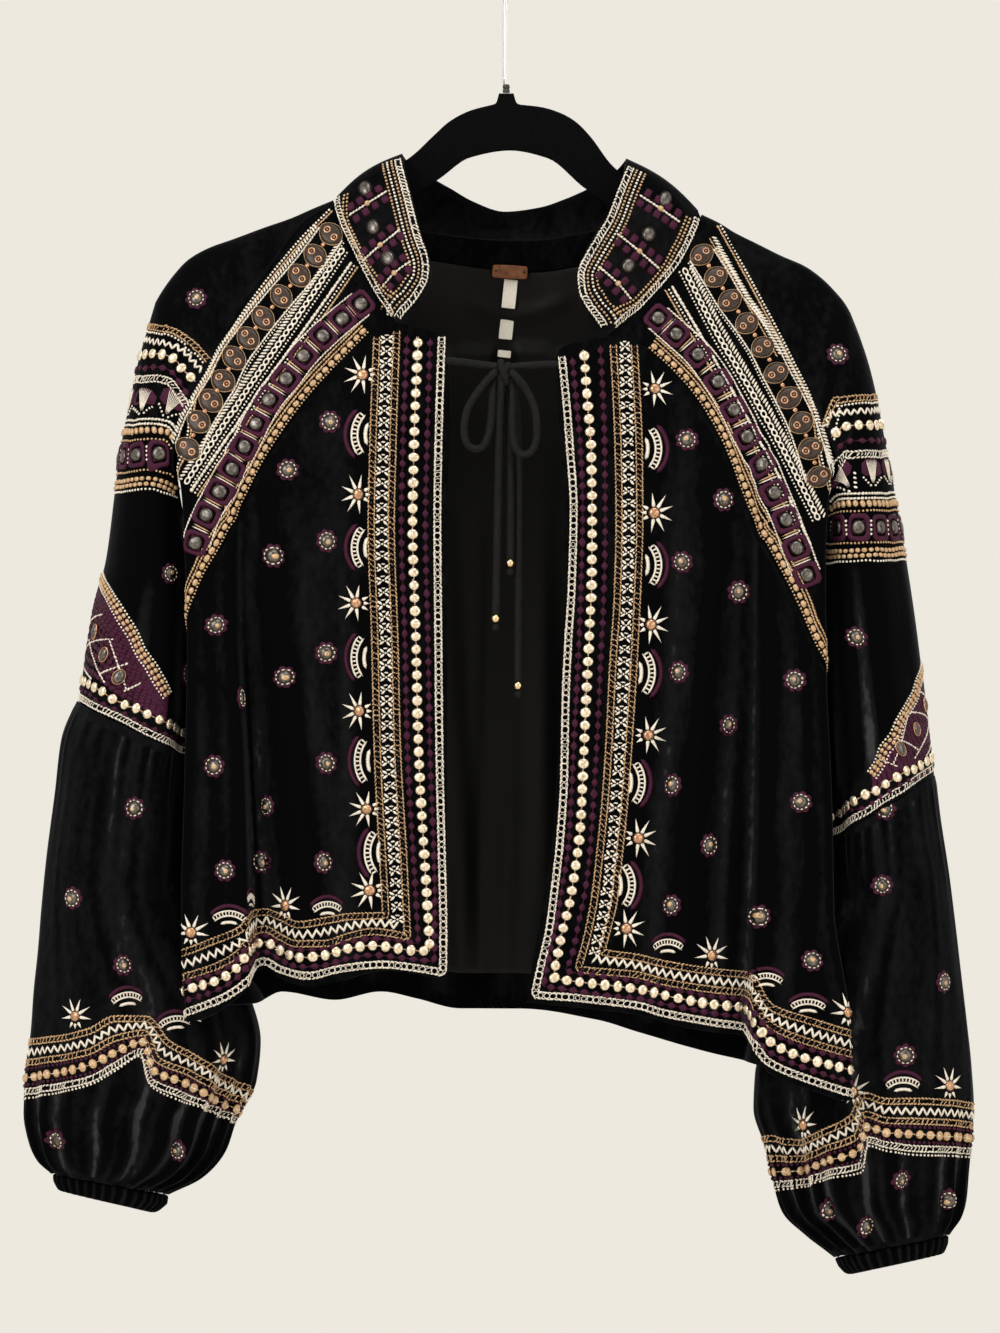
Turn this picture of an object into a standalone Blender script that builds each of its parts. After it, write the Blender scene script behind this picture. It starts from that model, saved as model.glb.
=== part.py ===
"""A cropped velvet jacket with raglan bands, hung open on a flocked hanger.

Tables are in millimetres. `reach` is the distance out from the hook's centre line, to the
viewer's left on the left side and to the right on the right side. `drop` is the distance
below the rod that carries the hook. `depth` is the distance in front of the hanger's plane.
+Z is up, the jacket's front looks along -Y, and the origin is where the hook meets the rod.
"""
import math

import bpy
import numpy as np

MM = 0.001
COLLECTION = "velvet_jacket_on_hanger"

VELVET = 2.0
SATIN = 1.0
SEAM_GAP = 0.4
FOLD_RADIUS = 6.0
TUCK = 20.7
BODICE_FULLNESS = 52.0
SHOULDER_HALF = 4.3
SHOULDER_REACH = 200.0

HANGER_HALF = 2.5
HANGER_SEAT = 2.0
HANGER_TIP = 11.0
WIRE = 3.2
HOOK_RADIUS = 20.0
CORD = 5.0
BEAD = 6.4

# Lines of the bodice seen from the front, as rows (drop, reach).
LEFT = {
    "sign": -1,
    "edge": [(284, 44), (296, 41.5), (334, 38), (404, 40), (600, 40.5), (739, 41)],
    "fold": [(300, 250), (340, 240), (370, 230), (400, 224), (432, 222), (489, 220),
             (505, 219), (600, 222), (688, 225), (719, 225), (769, 222)],
    "wall": [(370, 220), (649, 219), (684, 214), (719, 197), (757, 171), (775, 166)],
    "ridge": [(0, 121), (119, 192.6), (134, 198.9), (146, 204.5), (170, 212.9), (187, 219.2),
              (204, 225.5), (214, 229.7), (223, 236), (231, 244.4), (246, 266)],
}
RIGHT = {
    "sign": 1,
    "edge": [(292, 41), (298, 38), (306, 35.5), (404, 32), (544, 28), (649, 22), (755, 15)],
    "fold": [(300, 250), (345, 240), (377, 230), (405, 224), (446, 222), (540, 223),
             (579, 226), (638, 228), (686, 229), (767, 240), (824, 242)],
    "wall": [(377, 220), (640, 221), (684, 214), (719, 199), (768, 179), (800, 171), (830, 168)],
    "ridge": [(0, 120.5), (136.5, 202.4), (153, 211), (163, 217.4), (178, 224.6), (196, 233.4),
              (213, 240.7), (227, 253), (237, 262.9), (249, 284.3)],
}

# Seam from the collar's tip, under the gold row and round the side, as rows (reach, drop).
LEFT["under_band"] = [(40, 288), (59, 284), (77, 280), (94, 287), (136, 331), (165, 372),
                      (183, 407), (199, 439), (209, 455), (217, 473), (222, 490), (234.7, 506)]
RIGHT["under_band"] = [(34, 302), (41, 296), (56, 292), (71, 290), (99, 298), (118, 315),
                       (130, 328), (144, 350), (153, 368), (160, 386), (167, 406), (200, 469),
                       (222, 518), (237.7, 536)]
LEFT["over_band"] = [(119.5, 197.4), (135, 203.5), (147, 215), (161, 235), (175, 254),
                     (188, 272), (197, 288), (206, 307), (220, 334), (226, 366), (238.6, 388)]
RIGHT["over_band"] = [(137, 207.4), (150, 213.5), (155, 222), (165, 237), (175, 252),
                      (185, 270), (194, 286), (202, 304), (217, 336), (225, 373), (239.2, 395)]
LEFT["collar_seam"] = [(119.5, 197.4), (117, 209), (109, 226), (94, 255), (77, 280)]
RIGHT["collar_seam"] = [(137, 207.4), (133, 219), (123, 239), (98, 267), (71, 290)]

# Hems of the fronts, as rows (reach, drop).
LEFT["hem"] = [(41, 739), (85, 733), (118, 741), (137, 744), (157, 739), (169, 732),
               (175, 735), (182, 748), (223, 769), (246, 766)]
RIGHT["hem"] = [(15, 755), (93, 764), (120, 771), (146, 776), (166, 778), (175, 790),
                (184, 804), (214, 816), (241, 824), (264, 820)]
BACK_HEM = [(-240, 764), (-200, 758), (-175, 757), (-158, 750), (-120, 756), (-88, 750),
            (-62, 755), (-31, 762), (10, 762), (65, 770), (92, 778), (144, 793), (176, 800),
            (205, 808), (250, 818)]
BACK_NECK = [(-135, 204), (-119, 199), (-100, 203.4), (-80, 209), (-52, 214), (0, 219),
             (20, 219), (56, 214), (95, 207.5), (120, 207), (137, 209.6), (152, 217)]

# Long folds of the fronts: name, cells to the next, reach and rise at four drops.
FOLD_DROPS = (300, 450, 600, 750)
LEFT["folds"] = [
    ("collar_tip", 2, (77, 79, 77, 74), (0, 0, 0, 0)),
    ("border", 2, (95, 95, 92, 86), (0, 0, 0, 0)),
    ("dip", 2, (118, 118, 116, 112), (0, -4, -5, -3)),
    ("long_ridge", 2, (160, 164, 147, 134), (0, 3, 6, 4)),
    ("recess", 1, (178, 180, 175, 161), (0, -4, -11, -9)),
    ("slot", 1, (186, 186, 179, 174), (0, -4, -13, -12)),
    ("box_edge", 1, (192, 192, 184, 181), (0, 2, 6, 7)),
    ("box", 2, (204, 204, 202, 202), (0, 2, 5, 7)),
]
RIGHT["folds"] = [
    ("collar_tip", 2, (71, 74, 70, 56), (0, 0, 0, 0)),
    ("border", 2, (97, 96, 90, 72), (0, 0, 0, 0)),
    ("dip", 2, (120, 120, 112, 98), (0, -4, -5, -3)),
    ("long_ridge", 2, (148, 146, 133, 121), (0, 4, 6, 4)),
    ("hollow", 2, (165, 164, 157, 150), (0, -3, -6, -4)),
    ("slot", 1, (175, 175, 174, 168), (0, -4, -8, -10)),
    ("box_edge", 1, (182, 182, 181, 176), (0, 3, 6, 9)),
    ("box", 2, (204, 204, 207, 212), (0, 1, 4, 8)),
]
# Soft folds of the back: reach to the viewer's right at neck and hem, width, rise at both.
BACK_FOLDS = [(-150, -128, 26, 0, 9), (-84, -70, 22, 0, 7), (-28, -22, 20, 0, 8),
              (34, 40, 24, 0, 7), (92, 82, 22, 0, 8), (158, 138, 26, 0, 9)]

# Outline of each shoulder, from the collar to the upper arm, as rows (reach, drop).
LEFT["shoulder"] = [(120.5, 193.4), (135, 199.4), (150, 206), (170, 213), (190, 220.5),
                    (208, 227), (222, 235), (232, 245.5), (240, 256.5), (246.5, 267.5)]
RIGHT["shoulder"] = [(138, 203.4), (150.4, 209.4), (161, 216), (177, 224), (194, 232.5),
                     (210, 239.5), (222, 248), (232, 258), (238.5, 266), (243.5, 275)]

# Sleeve sections below that, as rows: outer reach and drop, inner reach and drop, half
# depth, centre behind the hanger's plane, and how far round each half runs, in degrees.
LEFT["upper_sleeve"] = [
    (251, 285, 226.4, 352, 40, 0, 92), (257, 306, 232, 374, 40, 1, 100),
    (263, 334, 230.5, 396, 42, 2, 130), (270, 370, 229.5, 420, 46, 4, 165),
    (274, 401, 229.5, 446, 48, 5, 179.7), (280, 446, 229.5, 484, 49, 6, 179.7),
    (289, 480, 229.5, 520, 50, 7, 179.7), (299, 544.6, 230, 583.6, 50, 8, 179.7)]
LEFT["lower_sleeve"] = [
    (300.4, 545.2, 230, 584.2, 50, 8, 179.7), (311, 572, 229.5, 608, 52, 9, 179.7),
    (316, 610, 229, 640, 53, 10, 179.7), (322, 655, 228, 672, 54, 11, 179.7),
    (325.5, 690, 219, 692, 54, 12, 179.7), (328, 721, 203, 720, 54, 12, 179.7),
    (331, 750, 181, 752, 54, 12, 179.7), (333, 780, 173, 784, 53, 12, 179.7),
    (336, 810, 176, 812, 51, 12, 179.7), (336, 834, 190, 838, 46, 12, 179.7),
    (332, 855, 199, 862, 38, 12, 179.7), (326, 868, 215, 880, 28, 12, 179.7),
    (318, 876.6, 238, 891.6, 17, 12, 179.7)]
RIGHT["upper_sleeve"] = [
    (248, 287, 224, 357, 39, 0, 92), (255, 308, 233, 381, 39, 1, 100),
    (260, 328, 230.5, 403, 42, 2, 130), (265, 354, 229.5, 428, 46, 4, 165),
    (271, 385, 229.5, 460, 48, 5, 179.7), (278, 425, 229.5, 505, 49, 6, 179.7),
    (287, 482, 230, 560, 50, 7, 179.7), (301, 596.6, 233, 642.6, 50, 8, 179.7)]
RIGHT["lower_sleeve"] = [
    (301.6, 597.3, 233, 643.3, 50, 8, 179.7), (305, 625, 233, 665, 52, 9, 179.7),
    (311, 662, 232, 688, 53, 10, 179.7), (316, 700, 216, 712, 54, 11, 179.7),
    (320.5, 738, 200, 745, 52, 12, 179.7), (324.5, 772, 185, 780, 49, 12, 179.7),
    (327.5, 800, 177, 808, 49, 12, 179.7), (329, 826, 176, 832, 50, 12, 179.7),
    (327, 850, 184, 858, 51, 12, 179.7), (324, 875, 190, 882, 46, 12, 179.7),
    (321.5, 896, 197, 904, 38, 12, 179.7), (318, 908, 213, 920, 28, 12, 179.7),
    (311, 920, 233, 935.8, 17, 12, 179.7)]

# Folds of a lower sleeve: degrees round from the outer edge (front is positive) at the elbow
# and the hem band, width in degrees, rise at the elbow, the hem band and the cuff.
LEFT["sleeve_folds"] = [(26, 28, 16, 2, 3, 1), (56, 66, 18, 5, 6, 2), (92, 96, 14, -3, -5, -2),
                        (122, 122, 16, 4, 6, 2), (146, 150, 12, -5, -8, -2),
                        (-40, -44, 18, 3, 5, 2), (-84, -80, 16, -3, -5, -2),
                        (-120, -118, 20, 4, 6, 2)]
RIGHT["sleeve_folds"] = [(30, 34, 16, 2, 3, 1), (72, 62, 16, 4, 5, 2), (100, 96, 14, -2, -3, -1),
                         (116, 112, 12, 4, 6, 2), (140, 136, 12, -6, -9, -3),
                         (-36, -40, 18, 3, 5, 2), (-80, -76, 16, -3, -5, -2),
                         (-116, -114, 20, 4, 6, 2)]
GATHERS = 15
GATHER_RISE = 4.2

# Cuffs: outer end's reach and drop, inner end's, at the top and at the bottom.
LEFT["cuff"] = [(317.5, 877.6, 238, 892.6), (317, 883, 239, 899), (313.5, 890, 246, 905)]
RIGHT["cuff"] = [(311.5, 921, 233, 936.8), (311, 927, 236, 943), (308, 934.5, 241, 948.5)]
CUFF_RIBS = 30
CUFF_CENTRE = 12.0

# Collar sections: seam reach, drop and depth, then the free edge's.
LEFT["collar"] = [
    (75.5, 278.5, 45, 71, 281, 48), (84, 266, 41, 57, 263, 52), (92, 253, 36, 51.5, 248, 50),
    (100, 238, 29, 52.5, 236, 47), (108, 222, 21.5, 58, 219, 39), (115, 207, 14.5, 65, 191, 26),
    (118, 196, 8, 71, 167, 13), (117.6, 190.6, 0, 72, 160.6, 0),
    (117, 194.6, -8.6, 68, 166, -13), (99, 200.8, -20.5, 55, 174, -26),
    (79.6, 206.8, -29.5, 47, 178.5, -35), (52, 211.8, -38, 38, 184, -44),
    (26, 215.2, -42, 22, 194.5, -48)]
RIGHT["collar"] = [
    (69.6, 288.4, 46, 67, 289.5, 50), (86, 275, 41, 55, 271, 53), (97, 264.6, 36.5, 51, 257, 51),
    (110, 250.6, 28, 53, 240, 47), (121.6, 236, 21, 62, 219, 40), (130, 220, 14.5, 74, 200, 29),
    (135, 206.4, 8, 84, 171, 14), (135, 200, 0, 85, 164, 0),
    (134.6, 204.2, -8.6, 80, 170, -13), (118, 203.4, -19, 69, 178, -25),
    (95, 204, -27.5, 58, 184, -34), (56, 211.8, -37.5, 42, 192, -43),
    (28, 215.8, -42, 24, 199, -47)]
COLLAR_CENTRE = (0, 216.4, -43.5, 0, 202, -49)
COLLAR_CROWN = 4.0

# How far the neck facing reaches below the neck, and how far the lining stops above the hem.
FACING_DEEP = [(-135, 8), (-86, 17), (-52, 18), (-9, 20), (18, 22), (52, 21), (86, 17), (137, 8)]
HEM_FACING = 25.0
FACING_REACH = 86.0
LINING_REACH = 150.0

# The hanger's upper edge at the neck and its lower edge, as rows (x, drop).
HANGER_NECK = [(-104, 186.4), (-82, 172.5), (-64.4, 160.4), (-50, 146.8), (-38.5, 136.6),
               (-24, 129.2), (-8.6, 125.2), (11, 125.2), (25, 126.8), (38, 130.6), (49, 136.6),
               (60, 147.5), (75, 167.5), (87, 177.5), (105, 188.5), (122, 197)]
HANGER_FOOT = [(-200, 249), (-119, 217), (-80, 197), (-47, 178), (-24.5, 162.5), (3.5, 157.6),
               (30, 163), (56, 184), (90, 205), (138, 229), (198, 260)]

# Cords of the tie: name, then points (x, drop, depth), x to the viewer's right.
CORDS = {
    "tie_left": [(-40.2, 306.6, 55.4), (-34, 307, 55.8), (-24, 308.4, 57), (-14, 309.8, 57.5),
                 (-6.1, 310.6, 58)],
    "tie_right": [(35.8, 309, 53.6), (28, 309.2, 54.6), (18, 309.8, 56), (9, 310.6, 57.2),
                  (3.8, 311.2, 58)],
    "loop_left": [(-6.9, 314.6, 60.2), (-12, 319.5, 61.5), (-20, 330, 61.5), (-27.4, 343, 60.5),
                  (-29, 357, 59.5), (-24.6, 368.6, 59.2), (-17, 369.4, 59), (-11.6, 359, 58.6),
                  (-9.4, 343, 58.4), (-8.8, 328, 57.2), (-6.6, 318.4, 55.8)],
    "loop_right": [(4.5, 314.6, 60.2), (10, 320, 61.5), (17, 330.5, 61.5), (21.8, 345, 60.5),
                   (22.2, 360, 59.5), (17.8, 372.6, 59), (10.6, 373.4, 58.8), (5.6, 362, 58.4),
                   (4.9, 345, 58.2), (5.6, 328, 57.2), (4.2, 319, 56.2)],
    "tail_left": [(-2.6, 321.2, 59), (-3, 328, 58.6), (-3.8, 345, 57), (-4.6, 380, 55),
                  (-5.4, 420, 53.5), (-6, 455, 53), (-6.6, 483.3, 53)],
    "tail_middle": [(0, 321.3, 53.6), (1, 328, 52.4), (2.4, 345, 50.8), (3.2, 375, 50),
                    (3.6, 410, 50), (3.5, 444.5, 50)],
    "tail_right": [(-0.4, 312.4, 49.9), (2.2, 318, 48.9), (6, 327, 47.6), (9, 345, 46.8),
                   (9.6, 380, 46.2), (9.4, 430, 46), (9.2, 485, 46), (9.1, 530.2, 46)],
}
TAILS = ("tail_left", "tail_middle", "tail_right")
KNOT = (-1.2, 313.8, 57.6)
KNOT_HALVES = (4.6, 7.2, 4.8)

TAG = (25.0, 1.4, 9.6)
TAG_CENTRE = (3.5, 242.0)
TAG_TILT = 3.0
# Three short lengths of tape one under the other: name, middle x, middle drop, width, height.
TAPES = [("tape_upper", 3.3, 257.4, 9.7, 20.4), ("tape_middle", 0.9, 282.4, 9.5, 13.8),
         ("tape_lower", -0.5, 299.6, 9.3, 5.0)]
TAPE_WALL = 0.8
TAPE_TILT = 6.0


def along(table, at, column=1):
    """Column of a table read at `at` in its first column, by a curve that never overshoots."""
    rows = np.array(table, float)
    stops = rows[:, 0]
    values = rows[:, column]
    step = np.diff(stops)
    slope = np.diff(values) / step
    tangent = np.zeros_like(values)
    same_way = slope[:-1] * slope[1:] > 0
    total = np.where(same_way, slope[:-1] + slope[1:], 1.0)
    tangent[1:-1] = np.where(same_way, 2 * slope[:-1] * slope[1:] / total, 0.0)
    tangent[0] = slope[0]
    tangent[-1] = slope[-1]
    at = np.clip(np.asarray(at, float), stops[0], stops[-1])
    i = np.clip(np.searchsorted(stops, at, side="right") - 1, 0, len(step) - 1)
    t = (at - stops[i]) / step[i]
    start = (1 + 2 * t) * (1 - t) ** 2 * values[i] + t * (1 - t) ** 2 * step[i] * tangent[i]
    end = t * t * (3 - 2 * t) * values[i + 1] + t * t * (t - 1) * step[i] * tangent[i + 1]
    return start + end


def smooth_step(value, low, high):
    """0 below `low`, 1 above `high`, with a soft ramp between."""
    t = np.clip((np.asarray(value, float) - low) / (high - low), 0, 1)
    return t * t * (3 - 2 * t)


def evenly(points, count):
    """The same curve through `points`, as `count` points at even distances along it."""
    points = np.array(points, float)
    gaps = np.linalg.norm(np.diff(points, axis=0), axis=1)
    run = np.concatenate([[0], np.cumsum(gaps)])
    fine = np.linspace(0, run[-1], 40 * len(points))
    curve = np.stack([along(np.stack([run, c], 1), fine) for c in points.T], 1)
    gaps = np.linalg.norm(np.diff(curve, axis=0), axis=1)
    fine_run = np.concatenate([[0], np.cumsum(gaps)])
    want = np.linspace(0, fine_run[-1], count)
    return np.stack([np.interp(want, fine_run, c) for c in curve.T], 1)


def hang_depth(side, reach, drop, fullness):
    """Half depth of the bodice: a thin ridge over the hanger's arm that fills out below it."""
    below = np.clip(drop - along(side["ridge"], reach), 0, SHOULDER_REACH)
    fill = 1 - (1 - below / SHOULDER_REACH) ** 1.6
    return SHOULDER_HALF + fullness * fill


def fold_lines(side, drop):
    """Reach and rise of each long fold at a drop, the front edge first and the side last."""
    edge = along(side["edge"], drop)
    flat_side = along(side["fold"], drop) - FOLD_RADIUS
    reaches = [edge]
    rises = [np.zeros_like(edge)]
    for _, _, reach_row, rise_row in side["folds"]:
        reaches.append(along(list(zip(FOLD_DROPS, reach_row)), drop))
        rises.append(along(list(zip(FOLD_DROPS, rise_row)), drop))
    reaches.append(flat_side)
    rises.append(np.zeros_like(edge))
    return np.array(reaches), np.array(rises)


def front_depth(side, reach, drop):
    """How far the front stands before the hanger: the hang, its folds and a turn at the side."""
    reach = np.asarray(reach, float)
    drop = np.asarray(drop, float)
    full = BODICE_FULLNESS + 5 * smooth_step(drop, 550, 720) + 5 * smooth_step(drop, 700, 830)
    depth = hang_depth(side, reach, drop, full)
    lines, rises = fold_lines(side, drop)
    relief = np.zeros_like(depth)
    for k in range(len(lines) - 1):
        inside = (reach >= lines[k]) & (reach < lines[k + 1])
        span = np.maximum(lines[k + 1] - lines[k], 1.0)
        t = np.clip((reach - lines[k]) / span, 0, 1)
        blend = t * t * (3 - 2 * t)
        relief = np.where(inside, rises[k] + (rises[k + 1] - rises[k]) * blend, relief)
    turn = 4 * (reach / along(side["fold"], drop)) ** 6 * smooth_step(drop, 320, 420)
    return depth + relief - turn


def front_surface(side, reach, drop):
    """Point of the front at a reach that runs on, past the side's fold, round to its tuck."""
    start = along(side["fold"], drop) - FOLD_RADIUS
    over = np.maximum(reach - start, 0)
    angle = np.minimum(over / FOLD_RADIUS, math.pi / 2)
    rest = np.maximum(over - FOLD_RADIUS * math.pi / 2, 0)
    slant = math.radians(45) * smooth_step(drop, 640, 740)
    out = np.minimum(reach, start) + FOLD_RADIUS * np.sin(angle) - rest * np.sin(slant)
    depth = front_depth(side, np.minimum(reach, start), drop)
    depth = depth - FOLD_RADIUS * (1 - np.cos(angle)) - rest * np.cos(slant)
    return np.stack([side["sign"] * out, -depth, -drop], -1)


def front_columns(side):
    """Columns of a front: the fold line each follows, and how far on to the next it lies."""
    cells = [4] + [row[1] for row in side["folds"]]
    columns = [(k, i / count) for k, count in enumerate(cells) for i in range(count)]
    return columns + [(len(cells), t) for t in (0.0, 0.15, 0.3, 0.455, 0.73, 1.0)]


def column_reach(side, column, drop):
    """Reach of one column at a drop, measured on past the fold at the side to its tuck."""
    line, t = column
    lines, _ = fold_lines(side, drop)
    if line < len(lines) - 1:
        return lines[line] + (lines[line + 1] - lines[line]) * t
    return lines[line] + TUCK * t


def column_meets(side, column, table, drop):
    """Drop at which a column meets a line given as rows (reach, drop)."""
    for _ in range(14):
        drop = along(table, column_reach(side, column, drop))
    return float(drop)


def front_grid(side, rows):
    """Grid of a front from its neck and band seam to its hem, and round to its tuck."""
    grid = []
    for column in front_columns(side):
        top = column_meets(side, column, side["under_band"], 450.0)
        reach = column_reach(side, column, top)
        slope = along(side["under_band"], reach + 2) - along(side["under_band"], reach - 2)
        top = top + SEAM_GAP * min(math.hypot(1, float(slope) / 4), 3.0)
        hem = column_meets(side, column, side["hem"], 750.0)
        levels = top + (hem - top) * np.linspace(0, 1, rows)
        grid.append(front_surface(side, column_reach(side, column, levels), levels))
    return np.array(grid).transpose(1, 0, 2)


def band_seams(side):
    """Ends of a raglan band's rows, on its lower seam and its upper one, as (reach, drop)."""
    columns = front_columns(side)
    tip = columns.index((1, 0.0))
    inner = []
    for column in columns[tip:]:
        drop = column_meets(side, column, side["under_band"], 450.0)
        inner.append((float(column_reach(side, column, drop)), drop))
    inner = np.array(inner)
    run = np.concatenate([[0], np.cumsum(np.linalg.norm(np.diff(inner, axis=0), axis=1))])
    return inner, evenly(side["over_band"], 200)[np.rint(run / run[-1] * 199).astype(int)]


def band_grid(side, columns):
    """Grid of a raglan band from the collar's seam to its end in the tuck."""
    inner, outer = band_seams(side)
    w = np.linspace(0, 1, columns)[None, :, None]
    trim = SEAM_GAP * np.linspace(2.0, -1.6, columns)[None, :, None]
    across = (inner - outer)[:, None]
    flat = outer[:, None] + across * w
    flat = flat + across / np.linalg.norm(across, axis=2)[..., None] * trim
    bulge = evenly(side["collar_seam"], columns) - (outer[0] + (inner - outer)[0] * w[0])
    fade = np.clip(1 - np.arange(len(inner)) / 4, 0, 1)[:, None, None]
    flat = flat + bulge[None] * fade
    flat[-1, :, 0] = along(side["fold"], flat[-1, :, 1]) - FOLD_RADIUS + TUCK
    return front_surface(side, flat[..., 0], flat[..., 1])


def back_depth(x, drop):
    """How far the back stands behind the hanger at x to the viewer's right, with its folds."""
    reach = np.abs(x)
    left = hang_depth(LEFT, reach, drop, 44.0)
    right = hang_depth(RIGHT, reach, drop, 44.0)
    depth = np.where(x < 0, left, right)
    share = smooth_step(drop, 300, 760)
    for top, hem, width, rise_top, rise_hem in BACK_FOLDS:
        middle = top + (hem - top) * share
        rise = rise_top + (rise_hem - rise_top) * share
        depth = depth + rise * (np.exp(-((x - middle) / width) ** 2) - 0.4)
    return depth


def back_half(side, drop, count):
    """Half of the back's section at one drop, from its front seam or raglan seam inwards."""
    sign = side["sign"]
    wall = float(along(side["wall"], drop))
    inset = float(smooth_step(drop, 640, 750))
    x = sign * np.linspace(wall - 30, 0, 9)
    back = np.stack([x, back_depth(x, drop)], 1)
    tuck = along(side["fold"], drop) - FOLD_RADIUS + TUCK + SEAM_GAP + 0.3
    start = front_surface(side, tuck, np.array(drop, float))
    side_wall = [(start[0] - sign * 1.2 * inset, start[1] + 1.0 * inset), (sign * (wall + 16 * inset), -20 - 10 * inset),
                 (sign * wall, 4), (sign * (wall - 2), 24),
                 (sign * (wall - 14), back[0, 1] - 4)]
    full = evenly(side_wall + back.tolist(), count)
    raglan = [(row[1], row[0]) for row in side["over_band"]]
    seam = float(along(raglan, min(drop, 370) - 1.2)) - 1.0
    x = sign * np.linspace(seam, 0, 12)
    short = evenly(np.stack([x, back_depth(x, drop)], 1), count)
    return short + (full - short) * float(smooth_step(drop, 370, 440))


def back_section(drop, half):
    """The back's whole section at one drop, from left to right."""
    left = back_half(LEFT, drop, half)
    right = back_half(RIGHT, drop, half)
    return np.concatenate([left, right[::-1][1:]])


def back_grid(rows, half, levels=70):
    """Grid of the back: its neck, the foot of the neck facing, then down to its hem."""
    drops = np.linspace(196, 830, levels)
    sections = np.array([back_section(drop, half) for drop in drops])
    grid = []
    for column in range(sections.shape[1]):
        track = sections[:, column]
        top = 240.0
        hem = 760.0
        for _ in range(14):
            neck_x = np.interp(top, drops, track[:, 0])
            top = float(along(BACK_NECK, neck_x))
            hem = float(along(BACK_HEM, np.interp(hem, drops, track[:, 0])))
        facing = top + float(along(FACING_DEEP, neck_x))
        spread = np.linspace(0, 1, rows - 3) ** 1.15
        body = facing + (hem - HEM_FACING - facing) * spread
        level = np.concatenate([[top + SEAM_GAP, (top + facing) / 2], body, [hem]])
        x = np.interp(level, drops, track[:, 0])
        y = np.interp(level, drops, track[:, 1])
        grid.append(np.stack([x, y, -level], 1))
    return np.array(grid).transpose(1, 0, 2)


def moved(grid, distance):
    """A grid's own points moved out along its normals, for what lies on that panel."""
    across = np.gradient(grid, axis=1)
    down = np.gradient(grid, axis=0)
    normal = np.cross(down, across)
    normal /= np.linalg.norm(normal, axis=2)[..., None]
    return grid + normal * distance


def columns_within(grid, row, reach):
    """Slice of the columns that lie within a reach of the middle at one of the rows."""
    inside = np.nonzero(np.abs(grid[row, :, 0]) < reach)[0]
    return slice(inside[0], inside[-1] + 1)


def front_of(grid, x, drop, wide, tall):
    """Foremost y of a hanging layer within a rectangle round (x, drop)."""
    found = []
    for px in (x - wide / 2, x, x + wide / 2):
        column = np.array([[np.interp(px, row[:, 0], row[:, 1]), np.interp(px, row[:, 0],
                            -row[:, 2])] for row in grid])
        for level in (drop - tall / 2, drop, drop + tall / 2):
            found.append(np.interp(level, column[:, 1], column[:, 0]))
    return min(found)


def seam_rows(side):
    """Sleeve sections along the band: they end on its seam and on the back's raglan seam."""
    _, seam = band_seams(side)
    seam = seam[seam[:, 0] < 221]
    outer = evenly(side["shoulder"], len(seam) + 1)[:-1]
    front = -front_surface(side, seam[:, 0], seam[:, 1])[:, 1]
    back = back_depth(side["sign"] * seam[:, 0], seam[:, 1])
    half = (front + back) / 2
    centre = (back - front) / 2
    level = np.full(len(seam), 90.0)
    return np.stack([outer[:, 0], outer[:, 1], seam[:, 0], seam[:, 1], half, centre, level], 1)


def upper_sleeve_rows(side):
    """All sections of an upper sleeve, the ones along the band first."""
    return np.concatenate([seam_rows(side), np.array(side["upper_sleeve"], float)])


def lower_sleeve_rows(side, rows):
    """Sections of a lower sleeve, read evenly from its table."""
    table = np.array(side["lower_sleeve"], float)
    run = np.linspace(0, len(table) - 1, rows)
    stops = np.arange(len(table))
    return np.stack([along(np.stack([stops, c], 1), run) for c in table.T], 1)


def sleeve_grid(side, table, columns, folds):
    """Grid of a sleeve: half ellipses from its outer edge round to its seam, front and back.

    A section is a straight line in the front view. Its depth is the half depth times the sine
    of the angle from the outer edge, and its place along the line is one minus the cosine.
    """
    out_reach, out_drop, in_reach, in_drop, half, centre, end = [c[:, None] for c in table.T]
    turn = np.linspace(1, -1, columns)[None, :]
    angle = np.radians(end) * turn
    share = (1 - np.cos(angle)) / (1 - np.cos(np.radians(end)))
    reach = out_reach + (in_reach - out_reach) * share
    drop = out_drop + (in_drop - out_drop) * share
    depth = half * np.sin(angle) - centre
    if folds:
        v = np.linspace(0, 1, len(table))[:, None]
        rise = sleeve_relief(side, np.degrees(angle), v)
        depth = depth + rise * np.sin(angle)
        reach = reach + rise * np.cos(angle) * 0.5
    return np.stack([side["sign"] * reach, -depth, -drop], -1)


def sleeve_relief(side, degrees, v):
    """Rise of a lower sleeve: its long folds, and the gathers that grow towards the cuff."""
    rise = np.zeros(np.broadcast(degrees, v).shape)
    for top, low, width, rise_top, rise_low, rise_cuff in side["sleeve_folds"]:
        middle = top + (low - top) * v
        heights = [(0, rise_top), (0.6, rise_low), (1, rise_cuff)]
        rise = rise + along(heights, v) * np.exp(-((degrees - middle) / width) ** 2)
    near_cuff = smooth_step(v, 0.5, 0.9) * (1 - 0.4 * smooth_step(v, 0.92, 1.0))
    gathers = np.cos(np.radians(degrees) * GATHERS)
    uneven = 1 + 0.4 * np.sin(np.radians(degrees) * 3 + 1)
    return rise + GATHER_RISE * near_cuff * gathers * uneven


def cuff_points(side, row, half, ribs, rib_rise):
    """Ring of a cuff: an ellipse in a tilted plane, with ribs that stand out evenly."""
    out_reach, out_drop, in_reach, in_drop = row
    angle = np.linspace(0, 2 * math.pi, ribs * 2, endpoint=False)
    rise = rib_rise * np.cos(angle * ribs)
    middle = (out_reach + in_reach) / 2
    radius = (out_reach - in_reach) / 2
    share = (1 - np.cos(angle)) / 2
    drop = out_drop + (in_drop - out_drop) * share
    x = side["sign"] * (middle + (radius + rise) * np.cos(angle))
    y = CUFF_CENTRE - (half + rise) * np.sin(angle)
    return np.stack([x, y, -drop], 1)


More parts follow.
